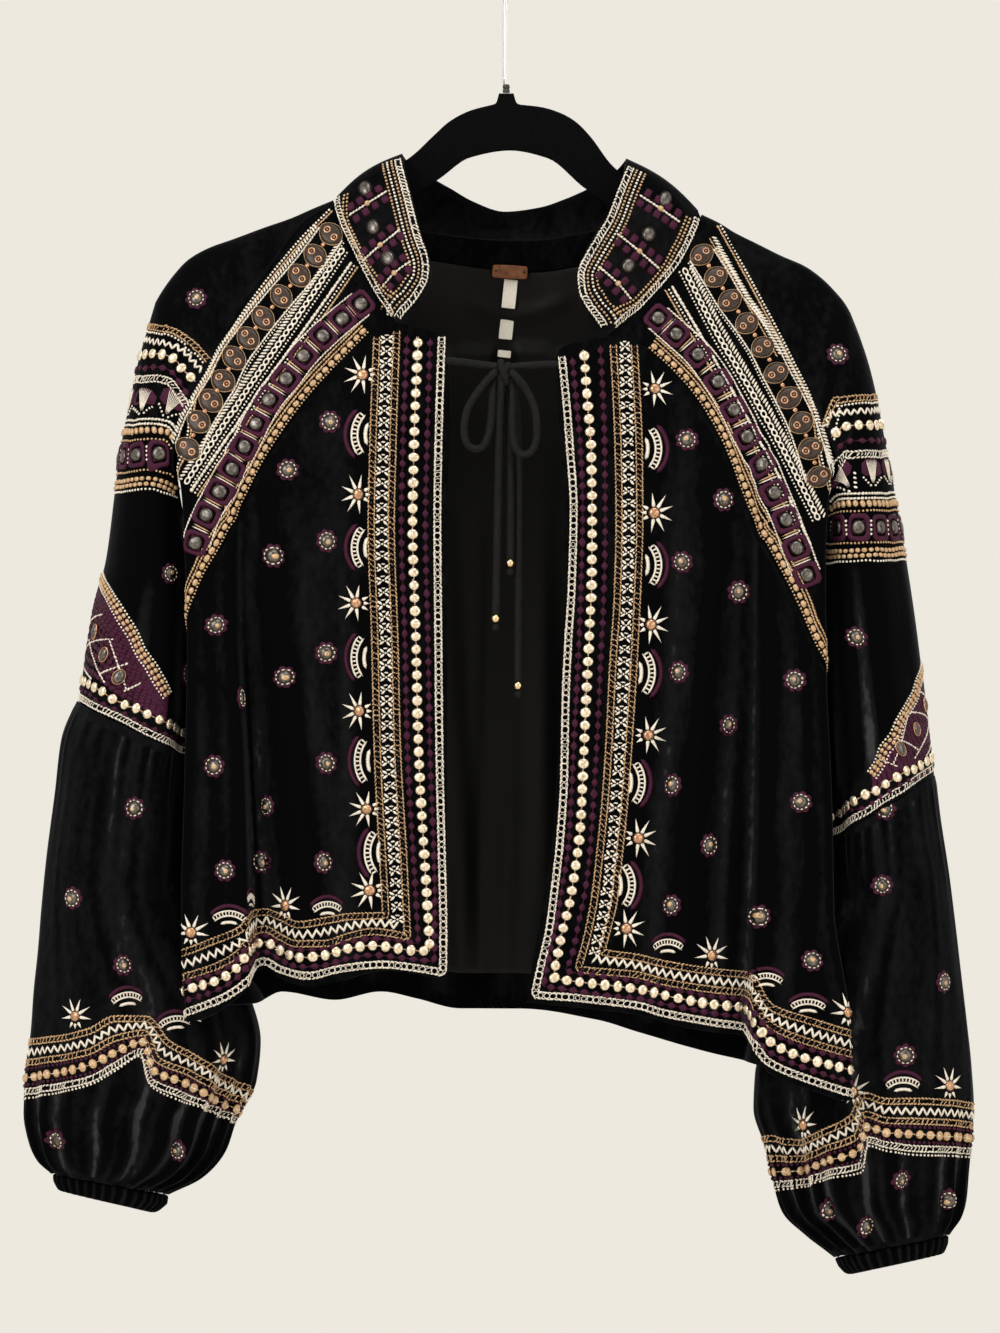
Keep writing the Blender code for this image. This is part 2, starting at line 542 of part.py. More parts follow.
def collar_rows():
    """Sections of the collar from the left tip, round the back of the neck, to the right tip."""
    left = [(-r[0], r[1], -r[2], -r[3], r[4], -r[5]) for r in LEFT["collar"]]
    right = [(r[0], r[1], -r[2], r[3], r[4], -r[5]) for r in RIGHT["collar"]]
    middle = [(0, COLLAR_CENTRE[1], -COLLAR_CENTRE[2], 0, COLLAR_CENTRE[4], -COLLAR_CENTRE[5])]
    return np.array(left + middle + right[::-1], float)


def collar_grid(rows, columns):
    """Grid of the collar: straight sections that bow outwards by a crown."""
    table = collar_rows()
    run = np.linspace(0, len(table) - 1, rows)
    value = [along(np.stack([np.arange(len(table)), c], 1), run) for c in table.T]
    seam = np.stack([value[0], value[2], -value[1]], 1)
    free = np.stack([value[3], value[5], -value[4]], 1)
    w = np.linspace(0, 1, columns)[None, :, None]
    grid = seam[:, None] + (free - seam)[:, None] * w
    along_collar = np.gradient((seam + free) / 2, axis=0)
    across = np.cross(free - seam, along_collar)
    across /= np.linalg.norm(across, axis=1)[:, None]
    return grid + COLLAR_CROWN * across[:, None] * np.sin(math.pi * w)


def material(name, colour, roughness, metallic=0.0):
    """One plain surface for a piece."""
    made = bpy.data.materials.new(name)
    made.use_nodes = True
    shader = made.node_tree.nodes["Principled BSDF"]
    shader.inputs["Base Color"].default_value = (*colour, 1)
    shader.inputs["Roughness"].default_value = roughness
    shader.inputs["Metallic"].default_value = metallic
    made.diffuse_color = (*colour, 1)
    return made


def place(mesh_object, surface):
    """Put a finished object in the part's collection, and in no other, with its material."""
    for home in list(mesh_object.users_collection):
        home.objects.unlink(mesh_object)
    mesh_object.data.materials.append(surface)
    PIECES.objects.link(mesh_object)
    return mesh_object


def sheet(name, grid, thickness, surface):
    """Cloth: an open grid of points given its wall by Solidify, half to each side."""
    rows, columns, _ = grid.shape
    index = np.arange(rows * columns).reshape(rows, columns)
    faces = np.stack([index[:-1, :-1], index[:-1, 1:], index[1:, 1:], index[1:, :-1]], -1)
    mesh = bpy.data.meshes.new(name)
    mesh.from_pydata((grid.reshape(-1, 3) * MM).tolist(), [], faces.reshape(-1, 4).tolist())
    mesh.shade_smooth()
    piece = place(bpy.data.objects.new(name, mesh), surface)
    wall = piece.modifiers.new("wall", "SOLIDIFY")
    wall.thickness = thickness * MM
    wall.offset = 0
    return piece


def ring_solid(name, rings, surface):
    """Closed band through rings of points: out and down the outer side, up the inner one."""
    rings = np.array(rings)
    count, size, _ = rings.shape
    index = np.arange(count * size).reshape(count, size)
    after = np.roll(index, -1, axis=1)
    below = np.roll(index, -1, axis=0)
    faces = np.stack([index, below, np.roll(after, -1, axis=0), after], -1)
    mesh = bpy.data.meshes.new(name)
    mesh.from_pydata((rings.reshape(-1, 3) * MM).tolist(), [], faces.reshape(-1, 4).tolist())
    return place(bpy.data.objects.new(name, mesh), surface)


def rod(name, points, diameter, surface, sides=2):
    """Round wire or cord along a smooth curve through its points, with closed ends."""
    curve = bpy.data.curves.new(name, "CURVE")
    curve.dimensions = "3D"
    curve.bevel_depth = diameter / 2 * MM
    curve.bevel_resolution = sides
    curve.use_fill_caps = True
    spline = curve.splines.new("POLY")
    spline.points.add(len(points) - 1)
    for spot, (x, y, z) in zip(spline.points, points):
        spot.co = (x * MM, y * MM, z * MM, 1)
    return place(bpy.data.objects.new(name, curve), surface)


def ball(name, centre, halves, segments, surface):
    """A bead or knot: a sphere stretched to its half sizes."""
    bpy.ops.mesh.primitive_uv_sphere_add(segments=segments, ring_count=segments // 2)
    piece = bpy.context.object
    piece.name = name
    piece.data.name = name
    for vertex in piece.data.vertices:
        vertex.co = [c * h * MM + o * MM for c, h, o in zip(vertex.co, halves, centre)]
    piece.data.shade_smooth()
    return place(piece, surface)


def hanger_side(side, count):
    """Points of one arm's upper edge, just under the shoulder, and of its round tip."""
    ridge = evenly(side["shoulder"], 60)
    ridge = ridge[ridge[:, 0] < 211][:: max(1, 40 // count)]
    lower = HANGER_SEAT + 1.4 * smooth_step(ridge[:, 0], 185, 208)
    top = np.stack([ridge[:, 0], ridge[:, 1] + lower], 1)
    angle = np.radians(np.linspace(-55, 95, 6))
    centre = top[-1] + [2.0, HANGER_TIP + 0.6]
    tip = centre + HANGER_TIP * np.stack([np.cos(angle), np.sin(angle)], 1)
    return np.concatenate([top, tip]) * [side["sign"], 1]


def build_hanger(surface):
    """Flocked hanger: a flat plate with an arch at the neck, and arms with round ends."""
    right = hanger_side(RIGHT, 5)
    left = hanger_side(LEFT, 5)
    neck_x = np.array([-104, -92, -82, -73, -64, -56, -48, -38, -28, -18, -6.6])
    neck_left = np.stack([neck_x, along(HANGER_NECK, neck_x)], 1)
    neck_x = np.array([9.1, 18, 28, 38, 47, 56, 65, 75, 87, 105, 122])
    neck_right = np.stack([neck_x, along(HANGER_NECK, neck_x)], 1)
    socket = [(-4.2, FERRULE_TOP + FERRULE_HEIGHT + 0.3), (6, FERRULE_TOP + FERRULE_HEIGHT + 0.3)]
    foot_x = np.array([198, 160, 120, 90, 72, 56, 46, 38, 28, 16, 3.5, -10, -20, -30, -38, -47,
                       -62, -80, -119, -160, -200])
    foot = np.stack([foot_x, along(HANGER_FOOT, foot_x)], 1)
    outline = np.concatenate([neck_left, socket, neck_right, right, foot, left[::-1]])
    curve = bpy.data.curves.new("hanger", "CURVE")
    curve.dimensions = "2D"
    curve.fill_mode = "BOTH"
    curve.extrude = (HANGER_HALF - 1.0) * MM
    curve.bevel_depth = 1.0 * MM
    curve.bevel_resolution = 0
    curve.offset = -1.0 * MM
    spline = curve.splines.new("POLY")
    spline.points.add(len(outline) - 1)
    spline.use_cyclic_u = True
    for spot, (x, drop) in zip(spline.points, outline):
        spot.co = (x * MM, -drop * MM, 0, 1)
    piece = bpy.data.objects.new("hanger", curve)
    piece.rotation_euler = (math.pi / 2, 0, 0)
    return place(piece, surface)


FERRULE_TOP = 111.0
FERRULE_HEIGHT = 6.0


def build_hook(chrome, black):
    """Chrome hook, a question mark whose crown rests on the rod, and its black ferrule."""
    crown = HOOK_RADIUS - WIRE / 2
    turn = np.radians(np.linspace(200, -52, 22))
    arc = [(HOOK_RADIUS * math.cos(a), 0, -crown + HOOK_RADIUS * math.sin(a)) for a in turn]
    neck = [(8.2, 0, -39.4), (4.2, 0, -43.6), (1.3, 0, -48.6), (0.2, 0, -54)]
    rod("hook", arc + neck + [(0, 0, -60), (0, 0, -(FERRULE_TOP - SEAM_GAP))], WIRE, chrome, 2)
    bpy.ops.mesh.primitive_cylinder_add(vertices=16, radius=2.5 * MM, depth=FERRULE_HEIGHT * MM)
    ferrule = bpy.context.object
    ferrule.name = "ferrule"
    ferrule.location = (0.9 * MM, 0, -(FERRULE_TOP + FERRULE_HEIGHT / 2) * MM)
    place(ferrule, black)


def build_tie(cord_surface, gold):
    """Tie cords, bow loops and hanging tails with a bead and a tuft on each end."""
    for name, points in CORDS.items():
        route = evenly([(x, -depth, -drop) for x, drop, depth in points],
                       2 * len(points) - 2)
        rod(name, route, CORD, cord_surface, 2)
    x, drop, depth = KNOT
    wide, tall, deep = KNOT_HALVES
    ball("tie_knot", (x, -depth, -drop), (wide, deep, tall), 12, cord_surface)
    for name in TAILS:
        x, drop, depth = CORDS[name][-1]
        bead = drop + SEAM_GAP + BEAD / 2
        ball("bead_" + name[5:], (x, -depth, -bead), [BEAD / 2] * 3, 12, gold)
        tuft = bead + BEAD / 2 + SEAM_GAP + 2.6
        ball("tuft_" + name[5:], (x, -depth, -tuft), (2.6, 2.6, 2.6), 8, cord_surface)


def plate(name, centre, size, tilt, surface, corner):
    """Flat piece with small cut corners, turned a little in the front view."""
    bpy.ops.mesh.primitive_cube_add(size=1)
    piece = bpy.context.object
    piece.name = name
    for vertex in piece.data.vertices:
        vertex.co = [c * s * MM for c, s in zip(vertex.co, size)]
    piece.rotation_euler = (0, math.radians(tilt), 0)
    piece.location = [c * MM for c in centre]
    rim = piece.modifiers.new("corners", "BEVEL")
    rim.width = corner * MM
    rim.segments = 1
    return place(piece, surface)


def build_layers(back, velvet, satin, leather, ribbon):
    """Neck facing and lining against the inside of the back, and the tag and tapes on them."""
    facing = moved(back, 1.0 + VELVET / 2 + 0.3)[:3, columns_within(back, 0, FACING_REACH)]
    sheet("neck_facing", facing, VELVET, velvet)
    lining = moved(back, 1.0 + SATIN / 2 + 0.3)[2:-1, columns_within(back, 7, LINING_REACH)]
    lining[0] += (lining[1] - lining[0]) * 0.02
    sheet("lining", lining, SATIN, satin)

    x, drop = TAG_CENTRE
    y = front_of(facing, x, drop, TAG[0], TAG[2]) - VELVET / 2 - 0.3 - TAG[1] / 2
    plate("leather_tag", (x, y, -drop), TAG, TAG_TILT, leather, 0.5)
    for name, x, drop, wide, tall in TAPES:
        y = front_of(lining, x, drop, wide, tall) - SATIN / 2 - 0.3 - TAPE_WALL / 2
        plate(name, (x, y, -drop), (wide, TAPE_WALL, tall), TAPE_TILT, ribbon, 0.2)


def build_jacket():
    """Every piece of the jacket and the hanger that holds it."""
    velvet = material("black_velvet", (0.012, 0.011, 0.013), 0.9)
    band_cloth = material("banded_velvet", (0.05, 0.03, 0.04), 0.8)
    satin = material("black_satin", (0.018, 0.018, 0.02), 0.4)
    cord_cloth = material("black_cord", (0.02, 0.02, 0.02), 0.8)
    flock = material("black_flock", (0.01, 0.01, 0.01), 0.95)
    chrome = material("chrome_wire", (0.8, 0.8, 0.82), 0.15, 1.0)
    gold = material("gold_bead", (0.75, 0.55, 0.3), 0.25, 1.0)
    leather = material("brown_leather", (0.3, 0.13, 0.06), 0.6)
    ribbon = material("cream_tape", (0.8, 0.74, 0.62), 0.8)
    plastic = material("black_plastic", (0.02, 0.02, 0.02), 0.4)

    back = back_grid(13, 15)
    sheet("back", back, VELVET, velvet)
    for side, name in ((LEFT, "left"), (RIGHT, "right")):
        sheet("front_" + name, front_grid(side, 12), VELVET, velvet)
        sheet("raglan_band_" + name, band_grid(side, 6), VELVET, band_cloth)
        sheet("sleeve_upper_" + name, sleeve_grid(side, upper_sleeve_rows(side), 15, False),
              VELVET, velvet)
        sheet("sleeve_lower_" + name, sleeve_grid(side, lower_sleeve_rows(side, 11), 46, True),
              VELVET, velvet)
        top, middle, foot = side["cuff"]
        rings = [cuff_points(side, top, 15.0, CUFF_RIBS, 0.9),
                 cuff_points(side, middle, 16.0, CUFF_RIBS, 1.0),
                 cuff_points(side, foot, 14.0, CUFF_RIBS, 0.8)]
        inner = [(row[0] - 3, row[1], row[2] + 3, row[3]) for row in (foot, top)]
        rings += [cuff_points(side, inner[0], 11.0, CUFF_RIBS, 0),
                  cuff_points(side, inner[1], 12.0, CUFF_RIBS, 0)]
        ring_solid("cuff_" + name, rings if side is LEFT else [r[::-1] for r in rings], velvet)
    sheet("collar", collar_grid(33, 5), VELVET, band_cloth)
    build_layers(back, velvet, satin, leather, ribbon)
    build_tie(cord_cloth, gold)
    build_hanger(flock)
    build_hook(chrome, plastic)


for old in list(bpy.data.objects):
    bpy.data.objects.remove(old)
PIECES = bpy.data.collections.new(COLLECTION)
bpy.context.scene.collection.children.link(PIECES)
build_jacket()
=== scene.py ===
"""A cropped velvet jacket with raglan bands, hung open on a flocked hanger: the finished look.

Tables are in millimetres. `reach` is the distance out from the hook's centre line, to the
viewer's left on the left side and to the right on the right side. `drop` is the distance
below the rod that carries the hook. `depth` is the distance in front of the hanger's plane.
"""

import math

import bpy
import numpy as np
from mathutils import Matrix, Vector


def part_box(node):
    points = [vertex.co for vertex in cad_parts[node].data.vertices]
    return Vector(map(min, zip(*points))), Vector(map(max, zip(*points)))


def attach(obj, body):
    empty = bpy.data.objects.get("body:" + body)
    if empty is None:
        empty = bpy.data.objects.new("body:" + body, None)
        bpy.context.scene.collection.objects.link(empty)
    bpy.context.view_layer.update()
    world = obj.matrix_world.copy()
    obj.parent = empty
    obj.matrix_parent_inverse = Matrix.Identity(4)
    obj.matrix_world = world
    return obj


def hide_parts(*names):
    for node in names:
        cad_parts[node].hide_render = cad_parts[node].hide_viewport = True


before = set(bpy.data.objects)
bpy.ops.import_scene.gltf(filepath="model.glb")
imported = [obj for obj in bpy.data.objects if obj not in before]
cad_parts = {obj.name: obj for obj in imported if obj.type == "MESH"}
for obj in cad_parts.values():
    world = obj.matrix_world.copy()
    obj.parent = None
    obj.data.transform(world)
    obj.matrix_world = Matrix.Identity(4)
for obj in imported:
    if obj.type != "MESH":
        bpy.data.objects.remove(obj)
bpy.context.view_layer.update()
MM = 0.001

# ---------------------------------------------------------------------------------------
# Camera, floor and light. The jacket is seen straight on from far off, in soft window
# light that comes from the upper left, before plain warm white.
PICTURE_TALL = 933.1
PICTURE_MIDDLE = (-3.5, 520.5)
CAMERA_AWAY = 9000.0
FRONT_PLANE = 45.0

lens = bpy.data.cameras.new("picture_lens")
lens.sensor_width = 36.0
lens.lens = 36.0 * CAMERA_AWAY / PICTURE_TALL
lens.clip_end = 60.0
camera = bpy.data.objects.new("picture_camera", lens)
camera.location = (PICTURE_MIDDLE[0] * MM, -(CAMERA_AWAY + FRONT_PLANE) * MM,
                   -PICTURE_MIDDLE[1] * MM)
camera.rotation_euler = (math.pi / 2, 0, 0)
bpy.context.scene.collection.objects.link(camera)
bpy.context.scene.camera = camera

room = bpy.data.worlds.new("warm_white_room")
room.use_nodes = True
room.node_tree.nodes["Background"].inputs["Color"].default_value = (0.845, 0.812, 0.738, 1)
room.node_tree.nodes["Background"].inputs["Strength"].default_value = 1.0
bpy.context.scene.world = room
bpy.context.scene.view_settings.view_transform = "Standard"

for name, place, size, watts, tone in (
        ("window_left", (-2.6, -3.0, 1.1), 2.2, 95, (1.0, 0.97, 0.93)),
        ("window_high", (0.6, -1.2, 2.6), 1.8, 38, (1.0, 0.98, 0.95)),
        ("room_right", (3.0, -2.4, 0.0), 2.4, 30, (1.0, 0.96, 0.9)),
        ("room_behind", (0.5, 3.2, 1.0), 2.4, 60, (1.0, 0.97, 0.93))):
    lamp = bpy.data.lights.new(name, "AREA")
    lamp.shape = "DISK"
    lamp.size = size
    lamp.energy = watts
    lamp.color = tone
    light = bpy.data.objects.new(name, lamp)
    light.location = place
    away = math.hypot(place[0], place[1])
    light.rotation_euler = (math.pi / 2 - math.atan2(place[2] + 0.5, away), 0,
                            math.atan2(place[0], -place[1]))
    bpy.context.scene.collection.objects.link(light)

floor_mesh = bpy.data.meshes.new("floor")
floor_mesh.from_pydata([(-9, -9, -1.2), (9, -9, -1.2), (9, 2.2, -1.2), (-9, 2.2, -1.2)], [],
                       [(0, 1, 2, 3)])
floor = bpy.data.objects.new("floor", floor_mesh)
floor_paint = bpy.data.materials.new("floor_paint")
floor_paint.use_nodes = True
for name, value in (("Base Color", (0.72, 0.69, 0.62, 1)), ("Roughness", 0.7)):
    floor_paint.node_tree.nodes["Principled BSDF"].inputs[name].default_value = value
floor_mesh.materials.append(floor_paint)
bpy.context.scene.collection.objects.link(floor)

# ---------------------------------------------------------------------------------------
# Tie of the neck: a rolled velvet cord from each front, knotted in a bow with two loops,
# and three tails that end in a gold bead and a small dark tuft.
CORD = 5.0
BEAD = 6.4
# Each cord's middle line as x to the viewer's right, drop and depth.
CORDS = {
    "tie_left": [(-40.2, 306.6, 55.4), (-34, 307, 55.8), (-24, 308.4, 57), (-14, 309.8, 57.5),
                 (-6.1, 310.6, 58)],
    "tie_right": [(35.8, 309, 53.6), (28, 309.2, 54.6), (18, 309.8, 56), (9, 310.6, 57.2),
                  (3.8, 311.2, 58)],
    "loop_left": [(-6.9, 314.6, 60.2), (-12, 319.5, 61.5), (-20, 330, 61.5), (-27.4, 343, 60.5),
                  (-29, 357, 59.5), (-24.6, 368.6, 59.2), (-17, 369.4, 59), (-11.6, 359, 58.6),
                  (-9.4, 343, 58.4), (-8.8, 328, 57.2), (-6.6, 318.4, 55.8)],
    "loop_right": [(4.5, 314.6, 60.2), (10, 320, 61.5), (17, 330.5, 61.5), (21.8, 345, 60.5),
                   (22.2, 360, 59.5), (17.8, 372.6, 59), (10.6, 373.4, 58.8), (5.6, 362, 58.4),
                   (4.9, 345, 58.2), (5.6, 328, 57.2), (4.2, 319, 56.2)],
    "tail_left": [(-2.6, 321.2, 59), (-3, 328, 58.6), (-3.8, 345, 57), (-4.6, 380, 55),
                  (-5.4, 420, 53.5), (-6, 455, 53), (-6.6, 483.3, 53)],
    "tail_middle": [(0, 321.3, 53.6), (1, 328, 52.4), (2.4, 345, 50.8), (3.2, 375, 50),
                    (3.6, 410, 50), (3.5, 444.5, 50)],
    "tail_right": [(-0.4, 312.4, 49.9), (2.2, 318, 48.9), (6, 327, 47.6), (9, 345, 46.8),
                   (9.6, 380, 46.2), (9.4, 430, 46), (9.2, 485, 46), (9.1, 530.2, 46)],
}
TAILS = ("tail_left", "tail_middle", "tail_right")
KNOT = (-1.2, 313.8, 57.6)
KNOT_WRAPS = ((6.6, 2.1, 0.2, 2.6), (4.6, -2.6, 0.6, 1.5))
TUFT_WIDE, TUFT_TALL = 2.55, 2.6


def along(table, at):
    """Second column of a table read at `at` in its first, by a curve that never overshoots."""
    stops, values = np.array(table, float).T
    step = np.diff(stops)
    slope = np.diff(values) / step
    tangent = np.zeros_like(values)
    same_way = slope[:-1] * slope[1:] > 0
    total = np.where(same_way, slope[:-1] + slope[1:], 1.0)
    tangent[1:-1] = np.where(same_way, 2 * slope[:-1] * slope[1:] / total, 0.0)
    tangent[0] = slope[0]
    tangent[-1] = slope[-1]
    at = np.clip(np.asarray(at, float), stops[0], stops[-1])
    i = np.clip(np.searchsorted(stops, at, side="right") - 1, 0, len(step) - 1)
    t = (at - stops[i]) / step[i]
    start = (1 + 2 * t) * (1 - t) ** 2 * values[i] + t * (1 - t) ** 2 * step[i] * tangent[i]
    end = t * t * (3 - 2 * t) * values[i + 1] + t * t * (t - 1) * step[i] * tangent[i + 1]
    return start + end


def smooth_step(value, low, high):
    """0 below `low`, 1 above `high`, with a soft ramp between."""
    t = np.clip((np.asarray(value, float) - low) / (high - low), 0, 1)
    return t * t * (3 - 2 * t)


def run_along(points):
    """Distance of each point of a line from its first one, along the line."""
    return np.concatenate([[0], np.cumsum(np.linalg.norm(np.diff(points, axis=0), axis=1))])


def unit(vectors):
    """The same vectors, each one unit long."""
    return vectors / np.linalg.norm(vectors, axis=-1)[..., None]


def smoothed(line, passes):
    """The same line, with each inner point drawn towards its neighbours some times over."""
    for _ in range(passes):
        line[1:-1] = (line[:-2] + 2 * line[1:-1] + line[2:]) / 4
    return line


def read_rows(table, at):
    """Each column of a table at row numbers that may lie between its rows."""
    stops = np.arange(len(table))
    return [along(np.stack([stops, column], 1), at) for column in np.array(table, float).T]


def evenly(points, count):
    """The same curve through `points`, as `count` points at even distances along it."""
    points = np.array(points, float)
    run = run_along(points)
    fine = np.linspace(0, run[-1], 40 * len(points))
    curve = np.stack([along(np.stack([run, c], 1), fine) for c in points.T], 1)
    run = run_along(curve)
    want = np.linspace(0, run[-1], count)
    return np.stack([np.interp(want, run, c) for c in curve.T], 1)


def group(shapes):
    """Several shapes of points, faces and one more column as one."""
    start = np.cumsum([0] + [len(s[0]) for s in shapes[:-1]])
    return (np.concatenate([s[0] for s in shapes]),
            np.concatenate([s[1] + n for s, n in zip(shapes, start)]),
            np.concatenate([s[2] for s in shapes]))


def put_together(name, points, faces, surfaces, uv=None, which=None):
    """A piece made from points in millimetres and faces of one size, smooth, on the jacket."""
    mesh = bpy.data.meshes.new(name)
    mesh.vertices.add(len(points))
    mesh.vertices.foreach_set("co", (np.asarray(points, float) * MM).ravel())
    faces = np.asarray(faces, np.int32)
    mesh.loops.add(faces.size)
    mesh.polygons.add(len(faces))
    mesh.polygons.foreach_set("loop_start", np.arange(0, faces.size, faces.shape[1]))
    mesh.polygons.foreach_set("vertices", faces.ravel())
    if uv is not None:
        layer = mesh.uv_layers.new(name="cut")
        layer.uv.foreach_set("vector", np.asarray(uv, float)[faces.ravel()].ravel())
    for surface in surfaces:
        mesh.materials.append(surface)
    if which is not None:
        mesh.polygons.foreach_set("material_index", np.asarray(which, np.int32))
    mesh.update(calc_edges=True)
    mesh.validate()
    mesh.shade_smooth()
    piece = bpy.data.objects.new(name, mesh)
    bpy.context.scene.collection.objects.link(piece)
    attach(piece, "root")
    return piece


def grid_faces(rows, columns, closed=False):
    """Four-sided faces of a grid of rows, which may close on itself across its columns."""
    index = np.arange(rows * columns).reshape(rows, columns)
    if closed:
        index = np.concatenate([index, index[:, :1]], 1)
    return np.stack([index[:-1, :-1], index[:-1, 1:], index[1:, 1:], index[1:, :-1]],
                    -1).reshape(-1, 4)


def in_threes(quads):
    """Two triangles for each four-sided face."""
    return np.concatenate([quads[:, [0, 1, 2]], quads[:, [0, 2, 3]]])


def tube_faces(rings, sides):
    """Triangles of a tube closed by a middle point at its first ring and one at its last."""
    edge = np.arange(sides)
    after = (edge + 1) % sides
    foot = rings * sides
    top = foot - sides
    return np.concatenate([
        in_threes(grid_faces(rings, sides, closed=True)[:, ::-1]),
        np.stack([np.full(sides, foot), after, edge], 1),
        np.stack([np.full(sides, foot + 1), top + edge, top + after], 1)])


def round_rod(route, radius, sides):
    """Points, faces and flat places of a round rod: circles square to a route, domed ends.

    The circle's first axis is square to the route and to the depth axis.
    """
    way = unit(np.gradient(route, axis=0))
    across = unit(np.cross(way, [0, 1, 0]))
    out = np.cross(across, way)
    dome = np.radians([8, 40, 70])
    long = radius * 0.55 * np.cos(dome)[:, None]
    centre = np.concatenate([route[0] - way[0] * long, route, route[-1] + way[-1] * long[::-1]])
    size = np.concatenate([radius * np.sin(dome), np.full(len(route), radius),
                           radius * np.sin(dome[::-1])])
    across, out = [np.pad(v, ((3, 3), (0, 0)), mode="edge")[:, None] for v in (across, out)]
    turn = np.linspace(0, 2 * math.pi, sides, endpoint=False)
    ring = across * np.cos(turn)[None, :, None] + out * np.sin(turn)[None, :, None]
    points = (centre[:, None] + ring * size[:, None, None]).reshape(-1, 3)
    run = run_along(centre)
    uv = np.stack(np.broadcast_arrays(run[:, None] * MM, turn[None, :] / (2 * math.pi)), -1)
    return (np.concatenate([points, centre[:1], centre[-1:]]), tube_faces(len(centre), sides),
            np.concatenate([uv.reshape(-1, 2), [[0, 0], [run[-1] * MM, 0]]]))


def turned(profile, centre, segments):
    """Points and faces of a turned piece: a profile of radius and height, from foot to top."""
    profile = np.array(profile, float)
    turn = np.linspace(0, 2 * math.pi, segments, endpoint=False)
    body = profile[1:-1]
    flat = body[:, None, :1] * np.stack([np.cos(turn), np.sin(turn)], 1)[None]
    tall = np.broadcast_to(body[:, None, 1:], (len(body), segments, 1))
    points = np.concatenate([np.concatenate([flat, tall], 2).reshape(-1, 3),
                             [[0, 0, profile[0, 1]], [0, 0, profile[-1, 1]]]])
    return points + np.array(centre, float), tube_faces(len(body), segments)


def new_surface(name, colour, roughness, metallic=0.0, **more):
    """A surface with its own colour; `more` holds shader inputs, with _ for each space."""
    made = bpy.data.materials.new(name)
    made.use_nodes = True
    made.diffuse_color = (*colour, 1)
    values = {"Base Color": (*colour, 1), "Roughness": roughness, "Metallic": metallic}
    values.update({key.replace("_", " "): value for key, value in more.items()})
    for key, value in values.items():
        made.node_tree.nodes["Principled BSDF"].inputs[key].default_value = value
    return made


def grain(made, size, detail=2.0, stretch=(1, 1, 1)):
    """Noise with grains of a size in millimetres, on the piece's own place in space."""
    nodes, links = made.node_tree.nodes, made.node_tree.links
    place = nodes.new("ShaderNodeTexCoord")
    turn = nodes.new("ShaderNodeMapping")
    turn.inputs["Scale"].default_value = stretch
    noise = nodes.new("ShaderNodeTexNoise")
    noise.inputs["Scale"].default_value = 1000.0 / size
    noise.inputs["Detail"].default_value = detail
    links.new(place.outputs["Object"], turn.inputs["Vector"])
    links.new(turn.outputs["Vector"], noise.inputs["Vector"])
    return noise.outputs["Fac"]


def ramp(made, into, source, *stops):
    """A shader input read from a value at (value, colour or grey) stops."""
    found = made.node_tree.nodes.new("ShaderNodeValToRGB")
    row = found.color_ramp
    for at, _ in stops[1:-1]:
        row.elements.new(at)
    for element, (at, colour) in zip(row.elements, stops):
        element.position = at
        element.color = (*np.broadcast_to(colour, 3), 1)
    made.node_tree.links.new(source, found.inputs["Fac"])
    made.node_tree.links.new(found.outputs["Color"],
                             made.node_tree.nodes["Principled BSDF"].inputs[into])


def raised(made, source, height, before=None):
    """Small relief of a height in millimetres, from a value, on the surface's normal."""
    links = made.node_tree.links
    bump = made.node_tree.nodes.new("ShaderNodeBump")
    bump.inputs["Strength"].default_value = 1.0
    bump.inputs["Distance"].default_value = height * MM
    links.new(source, bump.inputs["Height"])
    if before is not None:
        links.new(before, bump.inputs["Normal"])
    links.new(bump.outputs["Normal"], made.node_tree.nodes["Principled BSDF"].inputs["Normal"])
    return bump.outputs["Normal"]


velvet_cord = new_surface("rolled_velvet_cord", (0.014, 0.014, 0.015), 0.72,
                          Specular_IOR_Level=0.14, Sheen_Weight=0.05, Sheen_Roughness=0.35,
                          Sheen_Tint=(0.75, 0.8, 0.9, 1))
ramp(velvet_cord, "Base Color", grain(velvet_cord, 3.0), (0.3, (0.0025, 0.0025, 0.0028)),
     (0.7, (0.007, 0.0071, 0.0078)))
raised(velvet_cord, grain(velvet_cord, 0.35), 0.12)

bead_gold = new_surface("polished_bead", (0.80, 0.57, 0.32), 0.2, 1.0)
ramp(bead_gold, "Roughness", grain(bead_gold, 1.5, 3), (0.3, 0.16), (0.75, 0.34))
raised(bead_gold, grain(bead_gold, 0.8), 0.02)

cord_pieces = {}
for name, points in CORDS.items():
    length = run_along(np.array(points))[-1]
    route = smoothed(evenly([(x, -depth, -drop) for x, drop, depth in points],
                            int(length / 1.3)), 24)
    points, faces, uv = round_rod(route, CORD / 2, 16)
    cord_pieces[name] = (put_together("velvet_" + name, points, faces, [velvet_cord],
                                      uv), route)
    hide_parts(name)

# The knot is two upright wraps round a short rod that lies across them. A wrap has its half
# height, how far it leans from left to right, how far aside it stands, and its half depth.
angle = 2 * math.pi * np.linspace(0, 1, 90) * 0.999
x, drop, depth = KNOT
parts = [round_rod(np.stack([x + aside - lean * np.cos(angle), -depth + deep * np.sin(angle),
                             -(drop + 1.0 - tall * np.cos(angle))], 1), 2.7, 14)
         for tall, lean, aside, deep in KNOT_WRAPS]
parts.append(round_rod(np.stack([x + np.linspace(-6.2, 6.2, 16), np.full(16, -depth),
                                 -drop - 1.2 * np.sin(np.linspace(-1.5, 1.5, 16))], 1), 2.3, 12))
points, faces, uv = group(parts)
knot = put_together("velvet_tie_knot", points, faces, [velvet_cord], uv)
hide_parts("tie_knot")

